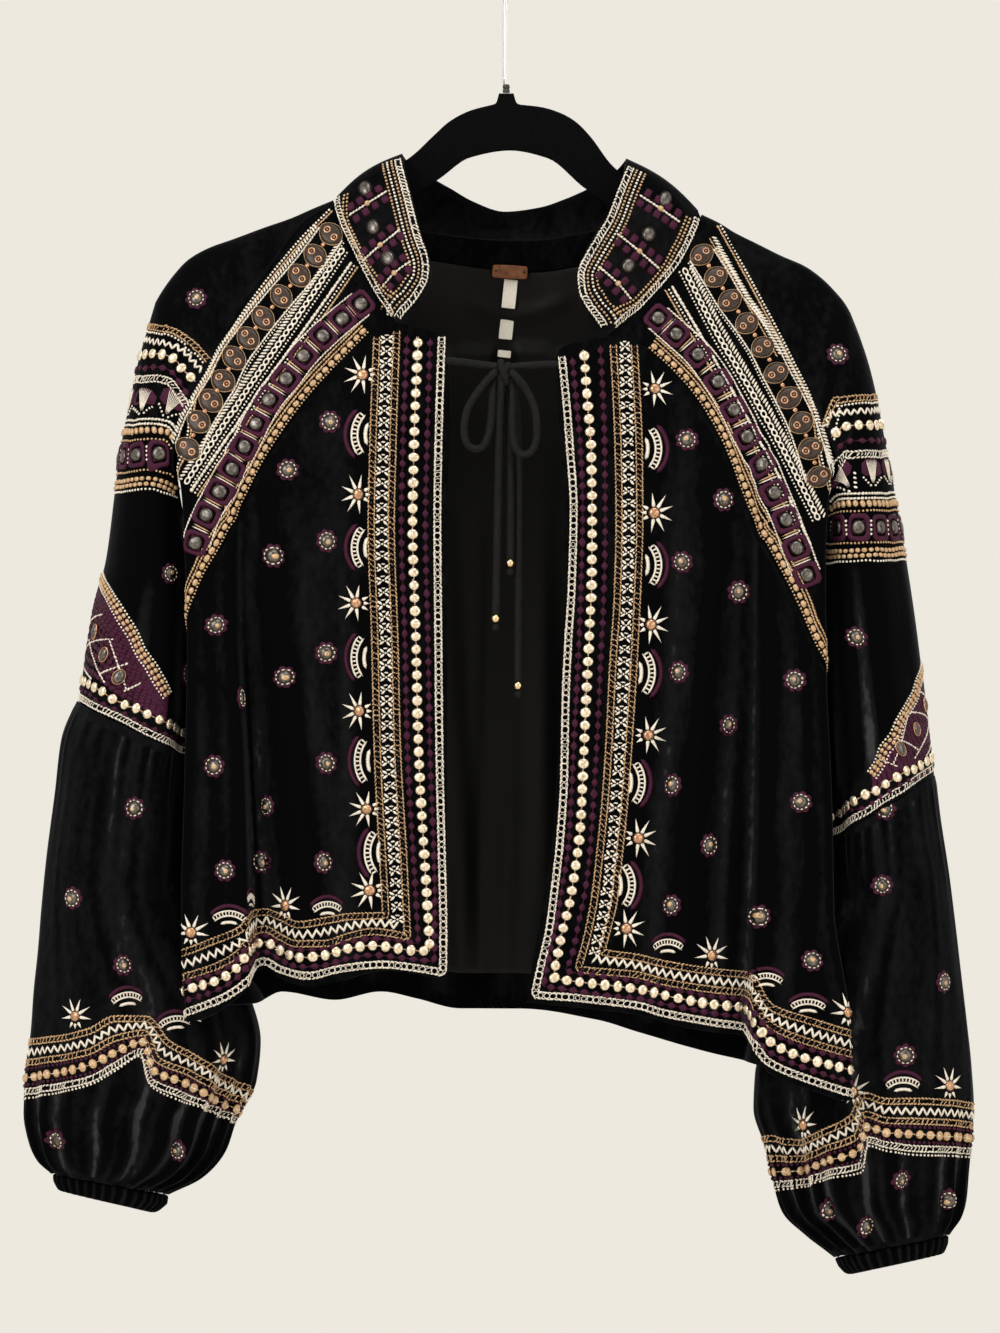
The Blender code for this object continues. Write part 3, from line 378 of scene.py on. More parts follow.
for name in TAILS:
    x, drop, depth = CORDS[name][-1]
    middle = drop + 0.4 + BEAD / 2
    angle = np.radians(np.linspace(-90, 90, 15))
    profile = np.stack([BEAD / 2 * np.cos(angle), BEAD / 2 * np.sin(angle)], 1)
    profile[[0, -1], 0] = 0
    profile[-3:-1] = [(1.5, 2.95), (1.25, 3.2)]
    profile[-4] = (1.7, 2.62)
    points, faces = turned(profile, (x, -depth, -middle), 20)
    bead = put_together("gold_" + name.replace("tail", "bead"), points, faces, [bead_gold])
    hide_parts(name.replace("tail", "bead"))
    middle = middle + BEAD / 2 + 0.4 + TUFT_TALL
    angle = np.radians(np.linspace(-90, 90, 19))
    profile = np.stack([TUFT_WIDE * np.cos(angle) ** 0.8, TUFT_TALL * np.sin(angle)], 1)
    profile[[0, -1], 0] = 0
    points, faces = turned(profile, (0, 0, 0), 24)
    around = np.arctan2(points[:, 1], points[:, 0])
    points[:, :2] *= (1 - 0.13 * np.abs(np.sin(around * 6 + points[:, 2])))[:, None]
    tuft = put_together("cord_" + name.replace("tail", "tuft"),
                        points + [x, -depth, -middle], faces, [velvet_cord])
    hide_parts(name.replace("tail", "tuft"))
    cord_pieces[name] += (bead, tuft)

for name, found in cord_pieces.items():
    piece, route = found[:2]
    length = run_along(route)[-1] * MM

# ---------------------------------------------------------------------------------------
# Hanger: a flat moulded core covered in black flock, with a chrome wire hook that screws
# into a short black ferrule on its neck.
HANGER_HALF, HANGER_TALL, HANGER_SIDES = 2.5, 12, 28
HOOK_RADIUS = 20.0
WIRE = 3.2
FERRULE_TOP, FERRULE_HEIGHT = 111.0, 6.0
HANGER_NECK = [(-104, 186.4), (-82, 172.5), (-64.4, 160.4), (-50, 146.8), (-38.5, 136.6),
               (-24, 129.2), (-8.8, 125.2), (-6.6, 124.4), (-4.2, 117.3), (6, 117.3),
               (8.6, 124.4), (11, 125.2), (25, 126.8), (38, 130.6), (49, 136.6),
               (60, 147.5), (75, 167.5), (87, 177.5), (105, 188.5), (122, 197)]
HANGER_FOOT = [(-200, 249), (-119, 217), (-80, 197), (-47, 178), (-24.5, 162.5), (3.5, 157.6),
               (30, 163), (56, 184), (90, 205), (138, 229), (198, 260)]
LEFT_ARM = [(-211, 233), (-190, 223.5), (-170, 215.5), (-150, 208.4), (-135, 201.8)]
RIGHT_ARM = [(138, 206), (150.4, 211.6), (177, 226.4), (194, 235), (210, 243.5)]

flock = new_surface("black_flock_pile", (0.008, 0.008, 0.008), 0.95, Specular_IOR_Level=0.03,
                    Sheen_Weight=0.012, Sheen_Roughness=0.5)
ramp(flock, "Base Color", grain(flock, 1.2, 4), (0.35, (0.0012, 0.0013, 0.0016)),
     (0.7, (0.0034, 0.0035, 0.0042)))
raised(flock, grain(flock, 0.4, 3), 0.1)

chrome = new_surface("drawn_chrome_wire", (0.62, 0.62, 0.64), 0.12, 1.0)
ramp(chrome, "Roughness", grain(chrome, 0.5, 3, (1, 1, 0.08)), (0.3, 0.08), (0.8, 0.28))

plastic = new_surface("moulded_black_plastic", (0.014, 0.014, 0.014), 0.4)
ramp(plastic, "Roughness", grain(plastic, 0.9, 3), (0.3, 0.32), (0.8, 0.5))

upper = np.concatenate([
    evenly(LEFT_ARM + HANGER_NECK[:7], 60)[:-1], evenly(HANGER_NECK[6:9], 8)[:-1],
    evenly(HANGER_NECK[8:10], 6)[:-1], evenly(HANGER_NECK[9:12], 8)[:-1],
    evenly(HANGER_NECK[11:] + RIGHT_ARM, 60)])
foot_x = np.interp(upper[:, 0], [-211, 0, 210], [-206, 0, 204])
lower = np.stack([foot_x, along(HANGER_FOOT, foot_x)], 1)
lower[:, 1] = np.maximum(lower[:, 1], upper[:, 1] + HANGER_TALL)
turn = np.linspace(0, 2 * math.pi, HANGER_SIDES, endpoint=False)
corner_u, corner_w = [np.sign(v) * np.abs(v) ** power
                      for v, power in ((np.cos(turn), 0.18), (np.sin(turn), 0.5))]
middle, half = (upper + lower) / 2, (upper - lower) / 2
rings = np.stack([middle[:, None, 0] + half[:, None, 0] * corner_u[None],
                  np.broadcast_to(HANGER_HALF * corner_w, (len(upper), HANGER_SIDES)),
                  -(middle[:, None, 1] + half[:, None, 1] * corner_u[None])], -1)
tips = []
for end, sign in ((0, -1), (-1, 1)):
    dome = np.radians([30, 60, 82])[:, None]
    grown = rings[end].mean(0) + (rings[end] - rings[end].mean(0)) * np.cos(dome)[..., None]
    grown[:, :, 0] += sign * 9.0 * np.sin(dome)
    tips.append(grown[::-1] if end == 0 else grown)
rings = np.concatenate([tips[0], rings, tips[1]])[::-1]
hanger = put_together("flocked_hanger",
                      np.concatenate([rings.reshape(-1, 3), [rings[0].mean(0), rings[-1].mean(0)]]),
                      tube_faces(len(rings), HANGER_SIDES)[:, ::-1], [flock])
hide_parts("hanger")

crown = HOOK_RADIUS - WIRE / 2
turn = np.radians(np.linspace(200, -52, 90))
bend = np.stack([HOOK_RADIUS * np.cos(turn), np.zeros(90), -crown + HOOK_RADIUS * np.sin(turn)], 1)
neck = evenly([bend[-1], (8.2, 0, -39.4), (4.2, 0, -43.6), (1.3, 0, -48.6), (0.2, 0, -54),
               (0, 0, -60)], 40)
stem = np.stack([np.zeros(12), np.zeros(12), np.linspace(-61, -FERRULE_TOP - 1.0, 12)], 1)
points, faces, uv = round_rod(np.concatenate([bend, neck[1:], stem]), WIRE / 2, 24)
hook = put_together("chrome_hook", points, faces, [chrome], uv)
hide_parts("hook")

profile = [(0, -FERRULE_HEIGHT), (2.2, -FERRULE_HEIGHT), (2.5, -FERRULE_HEIGHT + 0.3),
           (2.5, -3.6), (2.15, -3.4), (2.15, -3.0), (2.5, -2.8), (2.5, -0.9), (2.3, -0.35),
           (1.9, -0.02), (1.7, 0), (0, 0)]
points, faces = turned(profile, (0.9, 0, -FERRULE_TOP), 32)
ferrule = put_together("hook_ferrule", points, faces, [plastic])
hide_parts("ferrule")

# ---------------------------------------------------------------------------------------
# Fronts: two velvet panels that hang open from the neck seam and the raglan band's seam to
# the hem, each folded round at the side. The velvet's colour is painted grey on the fold
# ridges, a painted sheen.
VELVET = 2.0
SEAM_GAP = 0.4
FOLD_RADIUS = 6.0
TUCK = 20.7
BODICE_FULLNESS = 52.0
# Most that the painted sheen raises or lowers the velvet's colour value.
SHEEN_RANGE = 0.22
SHOULDER_HALF = 4.3
SHOULDER_REACH = 200.0
LEFT = {
    "sign": -1,
    "edge": [(284, 44), (296, 41.5), (334, 38), (404, 40), (600, 40.5), (739, 41)],
    "fold": [(300, 250), (340, 240), (370, 231), (400, 225.5), (432, 223.5), (489, 222),
             (505, 221.5), (600, 223.5), (688, 225.5), (719, 225), (769, 222)],
    "wall": [(370, 220), (649, 219), (684, 214), (719, 197), (757, 171), (775, 166)],
    "ridge": [(0, 121), (119, 192.6), (134, 198.9), (146, 204.5), (170, 212.9), (187, 219.2),
              (204, 225.5), (214, 229.7), (223, 236), (231, 244.4), (246, 266)],
    "under_band": [(40, 288), (59, 284), (77, 280), (94, 287), (136, 331), (165, 372),
                   (183, 407), (199, 439), (209, 455), (217, 473), (222, 490), (234.7, 506)],
    "over_band": [(119.5, 197.4), (135, 203.5), (147, 215), (161, 235), (175, 254),
                  (188, 272), (197, 288), (206, 307), (220, 334), (226, 366), (238.6, 388)],
    "collar_seam": [(119.5, 197.4), (117, 209), (109, 226), (94, 255), (77, 280)],
    "hem": [(41, 739), (85, 733), (118, 741), (137, 744), (157, 739), (169, 732),
            (175, 735), (182, 748), (223, 769), (246, 766)],
    # Creases: reach at rows of drop, width, rise, and the drops where they start and end.
    "creases": [([(300, 128), (460, 124), (620, 118)], 5, 1.4, 430, 640),
                ([(300, 170), (391, 169.8), (425, 164.5), (504, 155.4), (617, 143.5),
                  (676, 137.2)], 4.5, 2.6, 370, 700),
                ([(480, 192.5), (545, 188), (600, 184), (690, 182)], 4, 2.2, 440, 710),
                ([(480, 205), (600, 209), (740, 206)], 7, -1.8, 500, 770),
                ([(450, 104), (560, 108), (700, 100)], 9, -1.0, 470, 690),
                ([(380, 196), (440, 206), (520, 213)], 6, 1.6, 350, 560),
                ([(560, 171), (640, 168), (720, 163)], 4, -2.0, 520, 735)],
    # Long folds: name, grid columns from it to the next, reach and rise at each of FOLD_DROPS.
    "folds": [
        ("collar_tip", 8, (77, 79, 77, 74), (0, 0, 0, 0)),
        ("border", 8, (95, 95, 92, 86), (0, 0, 0, 0)),
        ("dip", 8, (118, 118, 116, 112), (0, -4, -5, -3)),
        ("long_ridge", 8, (160, 164, 147, 134), (0, 3, 6, 4)),
        ("recess", 5, (178, 180, 175, 161), (0, -4, -11, -9)),
        ("slot", 5, (186, 186, 179, 174), (0, -4, -13, -12)),
        ("box_edge", 5, (192, 192, 184, 181), (0, 2, 6, 7)),
        ("box", 6, (204, 204, 202, 202), (0, 2, 5, 7))],
}
RIGHT = {
    "sign": 1,
    "edge": [(292, 41), (298, 38), (306, 35.5), (334, 36.5), (370, 39), (404, 41), (465, 41.5),
             (505, 40), (600, 36), (642, 33), (670, 29), (710, 22), (755, 15)],
    "fold": [(300, 250), (345, 240), (377, 231), (405, 225.5), (446, 223.5), (540, 224.5),
             (579, 226.5), (638, 228.5), (686, 229), (767, 240), (824, 242)],
    "wall": [(377, 220), (640, 221), (684, 214), (719, 199), (768, 179), (800, 171), (830, 168)],
    "ridge": [(0, 120.5), (136.5, 202.4), (153, 211), (163, 217.4), (178, 224.6), (196, 233.4),
              (213, 240.7), (227, 253), (237, 262.9), (249, 284.3)],
    "under_band": [(34, 302), (41, 296), (56, 292), (71, 290), (99, 298), (118, 315),
                   (130, 328), (144, 350), (153, 368), (160, 386), (167, 406), (200, 469),
                   (222, 518), (237.7, 536)],
    "over_band": [(137, 207.4), (150, 213.5), (155, 222), (165, 237), (175, 252),
                  (185, 270), (194, 286), (202, 304), (217, 336), (225, 373), (239.2, 395)],
    "collar_seam": [(137, 207.4), (133, 219), (123, 239), (98, 267), (71, 290)],
    "hem": [(15, 755), (93, 764), (120, 771), (146, 776), (166, 778), (175, 790),
            (184, 804), (214, 816), (241, 824), (264, 820)],
    "creases": [([(429, 145), (446, 146), (510, 140.7), (575, 135), (656, 129)], 4.5, 2.6,
                 400, 700),
                ([(450, 180), (506, 183), (660, 179), (735, 175)], 4, 2.4, 440, 770),
                ([(540, 203), (600, 206)], 8, -2.2, 500, 640),
                ([(420, 120), (560, 112), (700, 98)], 8, -1.2, 450, 700),
                ([(560, 158), (650, 152), (740, 150)], 5, -1.8, 520, 760),
                ([(400, 190), (470, 203), (560, 212)], 6, 1.6, 380, 600),
                ([(620, 216), (720, 222), (800, 228)], 6, 1.5, 590, 815)],
    "folds": [
        ("collar_tip", 8, (71, 74, 70, 56), (0, 0, 0, 0)),
        ("border", 8, (97, 96, 90, 72), (0, 0, 0, 0)),
        ("dip", 8, (120, 120, 112, 98), (0, -4, -5, -3)),
        ("long_ridge", 8, (148, 146, 133, 121), (0, 4, 6, 4)),
        ("hollow", 6, (165, 164, 157, 150), (0, -3, -6, -4)),
        ("slot", 5, (175, 175, 174, 168), (0, -4, -8, -10)),
        ("box_edge", 5, (182, 182, 181, 176), (0, 3, 6, 9)),
        ("box", 7, (204, 204, 207, 212), (0, 1, 4, 8))],
}
FOLD_DROPS = (300, 450, 600, 750)
SIDES = ((LEFT, "left"), (RIGHT, "right"))


def hang_depth(side, reach, drop, fullness):
    """Half depth of the bodice: a thin ridge over the hanger's arm that fills out below it."""
    below = np.clip(drop - along(side["ridge"], reach), 0, SHOULDER_REACH)
    fill = 1 - (1 - below / SHOULDER_REACH) ** 1.6
    return SHOULDER_HALF + fullness * fill


def fold_lines(side, drop):
    """Reach and rise of each long fold at a drop, the front edge first and the side last."""
    edge = along(side["edge"], drop)
    reaches = [edge]
    rises = [np.zeros_like(edge)]
    for _, _, reach_row, rise_row in side["folds"]:
        reaches.append(along(list(zip(FOLD_DROPS, reach_row)), drop))
        rises.append(along(list(zip(FOLD_DROPS, rise_row)), drop))
    reaches.append(along(side["fold"], drop) - FOLD_RADIUS)
    rises.append(np.zeros_like(edge))
    return np.array(reaches), np.array(rises)


def crease_relief(side, reach, drop):
    """Small creases: soft ridges and hollows along listed lines, faded at their ends."""
    relief = np.zeros(np.broadcast(reach, drop).shape)
    for middle, wide, rise, start, stop in side["creases"]:
        fade = smooth_step(drop, start, start + 70) * (1 - smooth_step(drop, stop - 60, stop))
        relief = relief + rise * fade * np.exp(-((reach - along(middle, drop)) / wide) ** 2)
    ripple = np.sin(reach / 8.3 + 1.1 * np.sin(drop / 61) + side["sign"]) * 0.35
    ripple = ripple + np.sin(reach / 4.1 - drop / 97) * np.sin(drop / 45 + reach / 30) * 0.22
    return relief + ripple * smooth_step(reach, 95, 125) * smooth_step(drop, 360, 460)


def front_depth(side, reach, drop):
    """How far the front stands before the hanger: the hang, its folds and a turn at the side."""
    reach = np.asarray(reach, float)
    drop = np.asarray(drop, float)
    full = BODICE_FULLNESS + 5 * smooth_step(drop, 550, 720) + 5 * smooth_step(drop, 700, 830)
    depth = hang_depth(side, reach, drop, full)
    lines, rises = fold_lines(side, drop)
    relief = np.zeros_like(depth)
    for k in range(len(lines) - 1):
        inside = (reach >= lines[k]) & (reach < lines[k + 1])
        span = np.maximum(lines[k + 1] - lines[k], 1.0)
        t = np.clip((reach - lines[k]) / span, 0, 1)
        blend = t * t * (3 - 2 * t)
        relief = np.where(inside, rises[k] + (rises[k + 1] - rises[k]) * blend, relief)
    turn = 4 * (reach / along(side["fold"], drop)) ** 6 * smooth_step(drop, 320, 420)
    return depth + relief - turn + crease_relief(side, reach, drop)


def front_surface(side, reach, drop):
    """Point of the front at a reach that runs on, past the side's fold, round to its tuck."""
    start = along(side["fold"], drop) - FOLD_RADIUS
    over = np.maximum(reach - start, 0)
    angle = np.minimum(over / FOLD_RADIUS, math.pi / 2)
    rest = np.maximum(over - FOLD_RADIUS * math.pi / 2, 0)
    slant = np.radians(12 * smooth_step(drop, 370, 430) + 33 * smooth_step(drop, 640, 740))
    out = np.minimum(reach, start) + FOLD_RADIUS * np.sin(angle) - rest * np.sin(slant)
    depth = front_depth(side, np.minimum(reach, start), drop)
    depth = depth - FOLD_RADIUS * (1 - np.cos(angle)) - rest * np.cos(slant)
    return np.stack([side["sign"] * out, -depth, -drop], -1)


def front_columns(side):
    """Columns of a front: the fold line each follows, and how far on to the next it lies."""
    cells = [12] + [row[1] for row in side["folds"]]
    columns = [(k, i / count) for k, count in enumerate(cells) for i in range(count)]
    return columns + [(len(cells), t) for t in np.linspace(0, 1, 15)]


def column_reach(side, column, drop):
    """Reach of one column at a drop, measured on past the fold at the side to its tuck."""
    line, t = column
    lines, _ = fold_lines(side, drop)
    if line < len(lines) - 1:
        return lines[line] + (lines[line + 1] - lines[line]) * t
    return lines[line] + TUCK * t


def column_meets(side, column, table, drop):
    """Drop at which a column meets a line given as rows (reach, drop)."""
    for _ in range(14):
        drop = along(table, column_reach(side, column, drop))
    return float(drop)


def front_grid(side, rows):
    """Grid of a front from its neck and band seam to its hem, and round to its tuck."""
    grid = []
    for column in front_columns(side):
        top = column_meets(side, column, side["under_band"], 450.0)
        reach = column_reach(side, column, top)
        slope = along(side["under_band"], reach + 2) - along(side["under_band"], reach - 2)
        top = top + SEAM_GAP * min(math.hypot(1, float(slope) / 4), 3.0)
        hem = column_meets(side, column, side["hem"], 750.0)
        levels = top + (hem - top) * np.linspace(0, 1, rows)
        grid.append(front_surface(side, column_reach(side, column, levels), levels))
    return np.array(grid).transpose(1, 0, 2)


def normals_of(grid):
    """Unit normals of a grid, square to its rows and its columns."""
    normal = np.cross(np.gradient(grid, axis=0), np.gradient(grid, axis=1))
    return normal / np.maximum(np.linalg.norm(normal, axis=2), 1e-9)[..., None]


def ridge_height(grid, reach=3):
    """Height of each point of a grid over the mean of its neighbours some cells away."""
    padded = np.pad(grid, ((reach, reach), (reach, reach), (0, 0)), mode="edge")
    rows, columns, _ = grid.shape
    mean = (padded[:rows, reach:-reach] + padded[2 * reach:, reach:-reach]
            + padded[reach:-reach, :columns] + padded[reach:-reach, 2 * reach:]) / 4
    inner = np.zeros((rows, columns))
    inside = slice(reach, -reach)
    inner[inside, inside] = ((grid - mean) * normals_of(grid)).sum(2)[inside, inside]
    return inner


def paint_sheen(piece, light):
    """Gives each point of a velvet piece its painted sheen, a value that the velvet's colour reads.
    """
    pile_sheen = piece.data.attributes.new("pile_sheen", "FLOAT", "POINT")
    pile_sheen.data.foreach_set("value", light.ravel().astype(np.float32))


def cloth(name, grid, wall, surface, outside=1, rim=0.5, lit=0.13, flat_sheen=0.52):
    """Cloth with its wall half to each side of a grid, a rounded rim, and a painted sheen: its
    colour is painted lighter on ridges (`lit` a millimetre) than at its flat level, which each
    piece sets.
    """
    rows, columns, _ = grid.shape
    run = np.concatenate([np.zeros((rows, 1)), np.cumsum(
        np.linalg.norm(np.diff(grid, axis=1), axis=2), 1)], 1)
    fall = np.concatenate([np.zeros((1, columns)), np.cumsum(
        np.linalg.norm(np.diff(grid, axis=0), axis=2), 0)], 0)
    piece = put_together(name, grid.reshape(-1, 3), grid_faces(rows, columns)[:, ::outside],
                         [surface], (np.stack([run, fall], -1) * MM).reshape(-1, 2))
    # Painted sheen on ridges that face out, and painted shade in hollows.
    paint_sheen(piece, flat_sheen + SHEEN_RANGE * np.tanh(ridge_height(grid) * outside * lit / SHEEN_RANGE))
    shell = piece.modifiers.new("wall", "SOLIDIFY")
    shell.thickness = wall * MM
    shell.offset = 0
    edge = piece.modifiers.new("rim", "BEVEL")
    edge.width = rim * MM
    edge.segments = 2
    edge.limit_method = "ANGLE"
    edge.angle_limit = math.radians(60)
    return piece


# The velvet's tone is its painted sheen on the fold ridges and two sizes of crushed patches,
# each with its grain, detail, stretch down the cloth and share.
black_velvet = new_surface("black_cut_velvet", (0.0066, 0.0069, 0.0079), 0.85,
                           Specular_IOR_Level=0.02, Sheen_Weight=0.06, Sheen_Roughness=0.3,
                           Sheen_Tint=(0.72, 0.8, 1.0, 1))
pile_sheen = black_velvet.node_tree.nodes.new("ShaderNodeAttribute")
pile_sheen.attribute_name = "pile_sheen"
tone = pile_sheen.outputs["Fac"]
for size, detail, stretch, share in ((17, 5, 0.35, 0.2), (4.5, 6, 0.55, 0.24)):
    patches = black_velvet.node_tree.nodes.new("ShaderNodeMath")
    patches.operation = "MULTIPLY_ADD"
    patches.inputs[1].default_value = share
    black_velvet.node_tree.links.new(grain(black_velvet, size, detail, (1, 1, stretch)),
                                     patches.inputs[0])
    black_velvet.node_tree.links.new(tone, patches.inputs[2])
    tone = patches.outputs[0]
# Near black where flat, up to a painted grey highlight on the ridges.
ramp(black_velvet, "Base Color", tone, (0.72, (0.0010, 0.0011, 0.0014)),
     (0.92, (0.0066, 0.0069, 0.0079)), (1.14, (0.032, 0.033, 0.037)))
crush = raised(black_velvet, grain(black_velvet, 13, 5, (1, 1, 0.4)), 0.9)
raised(black_velvet, grain(black_velvet, 0.8, 3), 0.22, crush)

for side, name in SIDES:
    grid = front_grid(side, 150)
    cloth("velvet_front_" + name, grid, VELVET, black_velvet,
                         outside=-side["sign"])
    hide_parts("front_" + name)

# ---------------------------------------------------------------------------------------
# Embroidery of the fronts: up each front edge and along the hem run a white chain border,
# purple satin stitch, sewn metal discs and two gold rope borders with cream thread between,
# beside stars, crescents and scattered roundels. All of it is thread and sequins on velvet.
LEFT["borders"] = {"white": [(44.1, 289.9), (46.6, 369), (47.3, 420.8), (46.6, 502), (45.9,
    576.9), (44.1, 656), (43.1, 705), (43.4, 734.4), (85.4, 728.8), (118, 732.3), (137.2, 736.5),
    (156.8, 732.3), (168.7, 726.7), (175, 729.5), (182, 742.1), (223.3, 762.4)], "purple_out":
    [(52.2, 290.6), (54.6, 369), (55.7, 420.8), (53.9, 502), (52.5, 576.9), (49, 686.8), (49.7,
    726.7), (74.2, 723.9), (91.7, 722.1), (109.2, 724.6), (128.1, 729.5), (143.5, 730.2), (155.4,
    726), (168.7, 720), (175.7, 723.2), (184.1, 735.1), (200.4, 746.3), (222.9, 754)], "coins":
    [(60.6, 289.9), (63.7, 369), (64.6, 420.8), (62.3, 502), (60.5, 576.9), (54.3, 686.8), (52.5,
    719.3), (63, 719), (74.2, 717.6), (91.7, 715.5), (109.2, 717.6), (128.1, 722.5), (143.5,
    723.7), (155.4, 719.3), (168.7, 713.4), (176.4, 716.2), (185.5, 729.5), (200.4, 739.6),
    (222.9, 746.3)], "purple_in": [(68.3, 288.5), (71.4, 369), (72.5, 420.8), (70, 502), (68.3,
    576.9), (63, 670), (60.6, 714.1), (74.2, 712.3), (91.7, 710.6), (109.2, 712.7), (128.1,
    717.9), (144.9, 718.6), (155.4, 714.8), (168.7, 708.5), (177.1, 712), (185.5, 723.9), (200.9,
    734.4), (223.3, 741)], "gold_out": [(75.6, 285.7), (78.4, 369), (79.5, 420.8), (77, 502),
    (75.2, 576.9), (70.7, 656), (68.2, 709.5), (91.7, 705.7), (109.2, 709.2), (126.7, 714.1),
    (145.6, 714.1), (155.4, 710.2), (168.7, 704.3), (177.1, 707.8), (184.1, 719), (200.9, 729.8),
    (223.3, 737.2)], "lattice": [(82.3, 287.8), (85.1, 369), (86.1, 420.8), (83.7, 502), (81.9,
    576.9), (77.4, 656), (74.9, 701.5)], "teeth": [(74.9, 701.5), (91.7, 699.4), (109.2, 702.2),
    (126.7, 706), (143.9, 707.8), (156.8, 702.5), (167.3, 698.3), (177.1, 701.5), (182.7, 711.3),
    (200.9, 720.4), (224.7, 728.8)], "gold_in": [(89.6, 289.9), (92.4, 369), (93.5, 420.8), (91,
    502), (89.3, 576.9), (85.4, 656), (83.3, 694.1), (109.2, 695.5), (126.7, 698.3), (143.9,
    700.8), (156.8, 695.5), (167.3, 692.4), (177.8, 693.8), (183.1, 702.9), (202.3, 712), (224.7,
    720.4)]}
RIGHT["borders"] = {"white": [(39.6, 303.9), (42.7, 334), (45.5, 369), (48, 409.6), (46.6, 464.9),
    (44.1, 505.5), (42.4, 544), (41.3, 600), (38.5, 642), (35.4, 670), (30.8, 705), (25.2, 729.5),
    (21, 749.1), (49, 751.9), (93.1, 757.5), (110.6, 762.4), (146.3, 769.4), (167.3, 772.9),
    (173.6, 782), (182.4, 795.3), (213.5, 809.3), (238.7, 817.7)], "purple_out": [(46.9, 303.9),
    (49.7, 334), (52.9, 369), (54.3, 409.6), (53.2, 464.9), (51.8, 502), (49, 558), (46.6, 607),
    (44.1, 649), (40.6, 670), (35.7, 701.5), (30.8, 722.5), (27, 743.1), (42, 745.9), (66.5,
    749.8), (92.4, 752.6), (108.5, 755.8), (146.3, 763.1), (168.7, 766.6), (174.3, 777.1), (182.7,
    788.3), (210, 800.9), (238, 810)], "coins": [(55, 299), (57.4, 333.3), (60.2, 369), (60.9,
    418), (60.6, 460.7), (59.2, 493.6), (56.7, 544), (54.3, 600), (52.5, 635), (49.4, 659.5),
    (44.8, 687.5), (40.6, 703.6), (37.1, 720.4), (33.9, 737.4), (50.1, 740.7), (76.7, 743.8),
    (92.7, 746), (107.5, 749.1), (126, 753.3), (146.1, 756.8), (168.7, 759.6), (175.7, 770.8),
    (185.5, 782.7), (207.5, 793.2), (238, 801.6)], "purple_in": [(66.5, 295.5), (68.6, 334),
    (69.7, 369), (70, 418), (69, 474), (67.2, 509), (65.1, 558), (62.3, 607), (59.5, 649), (56,
    677), (51.1, 701.5), (46.9, 722.5), (42.7, 732.6), (59.5, 735.8), (92.4, 740.3), (126, 747.7),
    (146.3, 751.2), (169.4, 754), (176.4, 764.5), (186.2, 775.7), (208.6, 786.2), (238, 794.6)],
    "gold_out": [(75.6, 295.5), (77.7, 334), (79.1, 369), (79.8, 418), (78.4, 474), (75.6, 516),
    (72.8, 572), (70, 614), (66.5, 649), (62.3, 684), (56.7, 712), (51.5, 730.9), (92.4, 736.1),
    (110.6, 740.7), (146.3, 746.6), (170.1, 749.4), (176.4, 759.6), (186.2, 771.5), (212.1,
    782.7), (240.1, 791.1)], "lattice": [(83.7, 292.7), (85.1, 334), (86.1, 369), (86.5, 418),
    (85.4, 474), (83.3, 516), (80.5, 572), (77.7, 614), (74.6, 649), (70.7, 684), (66.5, 705),
    (61.6, 724.4)], "teeth": [(61.6, 724.4), (92.4, 729.5), (110.6, 734.4), (146.3, 740.3),
    (171.5, 743.5), (177.1, 754), (185.5, 765.2), (212.8, 775.7), (240.8, 784.1)], "gold_in":
    [(90.3, 295.5), (92.4, 334), (93.8, 369), (94.2, 418), (92.4, 474), (90.3, 516), (86.8, 572),
    (83.7, 614), (80.2, 649), (76.3, 684), (71.4, 705), (67.9, 719), (92.4, 723.9), (110.6,
    728.1), (146.3, 734), (172.9, 737.2), (177.8, 747.7), (185.5, 758.2), (213.5, 768.3), (241.5,
    777.1)]}
LEFT["stars"] = [(99.6, 316.5), (102.5, 400.1), (104, 476.1), (101.8, 551.7), (96.6, 620.3),
    (94.5, 677), (153, 687.5), (219.1, 706.4)]
RIGHT["stars"] = [(104.8, 326.3), (104.3, 413.1), (102, 491.2), (100.1, 568.5), (93.1, 640.6),
    (84.7, 703.6), (144.2, 722.5), (240.1, 762.4)]
LEFT["crescents"] = [(104, 357.8), (104, 437.2), (104.3, 513.9), (101.8, 586.7), (94.9, 650.8),
    (124.6, 687.5), (178.5, 681.9), (192.5, 693.8)]
RIGHT["crescents"] = [(106.1, 368.3), (106.1, 449.5), (101.5, 525.1), (94.5, 602.1), (87.5,
    673.5), (114.1, 713.8), (182.4, 737.2), (211.4, 755.4)]
LEFT["roundels"] = [(151.9, 383), (122.5, 349.4), (161.7, 443.2), (124.6, 432.7), (125.3, 511.1),
    (201.6, 491.5), (154, 527.9), (185.5, 542.6), (125.3, 588.1), (203, 590.2), (165.9, 618.2),
    (127.4, 657.4), (195.3, 663), (170.1, 657.4)]
RIGHT["roundels"] = [(152.6, 404), (127.4, 362), (163.1, 468.4), (123.9, 447.4), (121.8, 524.4),
    (156.1, 561.5), (117.6, 603.5), (202.3, 530), (142.1, 645.5), (206.5, 615.4), (116.8, 687.5),
    (177.8, 695.2), (214.2, 726)]
CREAM, GOLD, PURPLE, DISC, PEWTER, COPPER, BROWN = range(7)
chance = np.random.default_rng(11)


def thread_surface(name, colour, darker, roughness, metallic=0.0, grains=0.7, gloss=0.3):
    """Thread or small metal: its colour in uneven grains, worn gloss and a fine relief."""
    made = new_surface(name, colour, roughness, metallic, Specular_IOR_Level=gloss)
    speckle = grain(made, grains, 3)
    ramp(made, "Base Color", speckle, (0.3, darker), (0.62, colour))
    ramp(made, "Roughness", grain(made, grains * 2, 2), (0.3, roughness * 0.75),
         (0.7, min(roughness * 1.3, 1)))
    raised(made, speckle, 0.05)
    return made


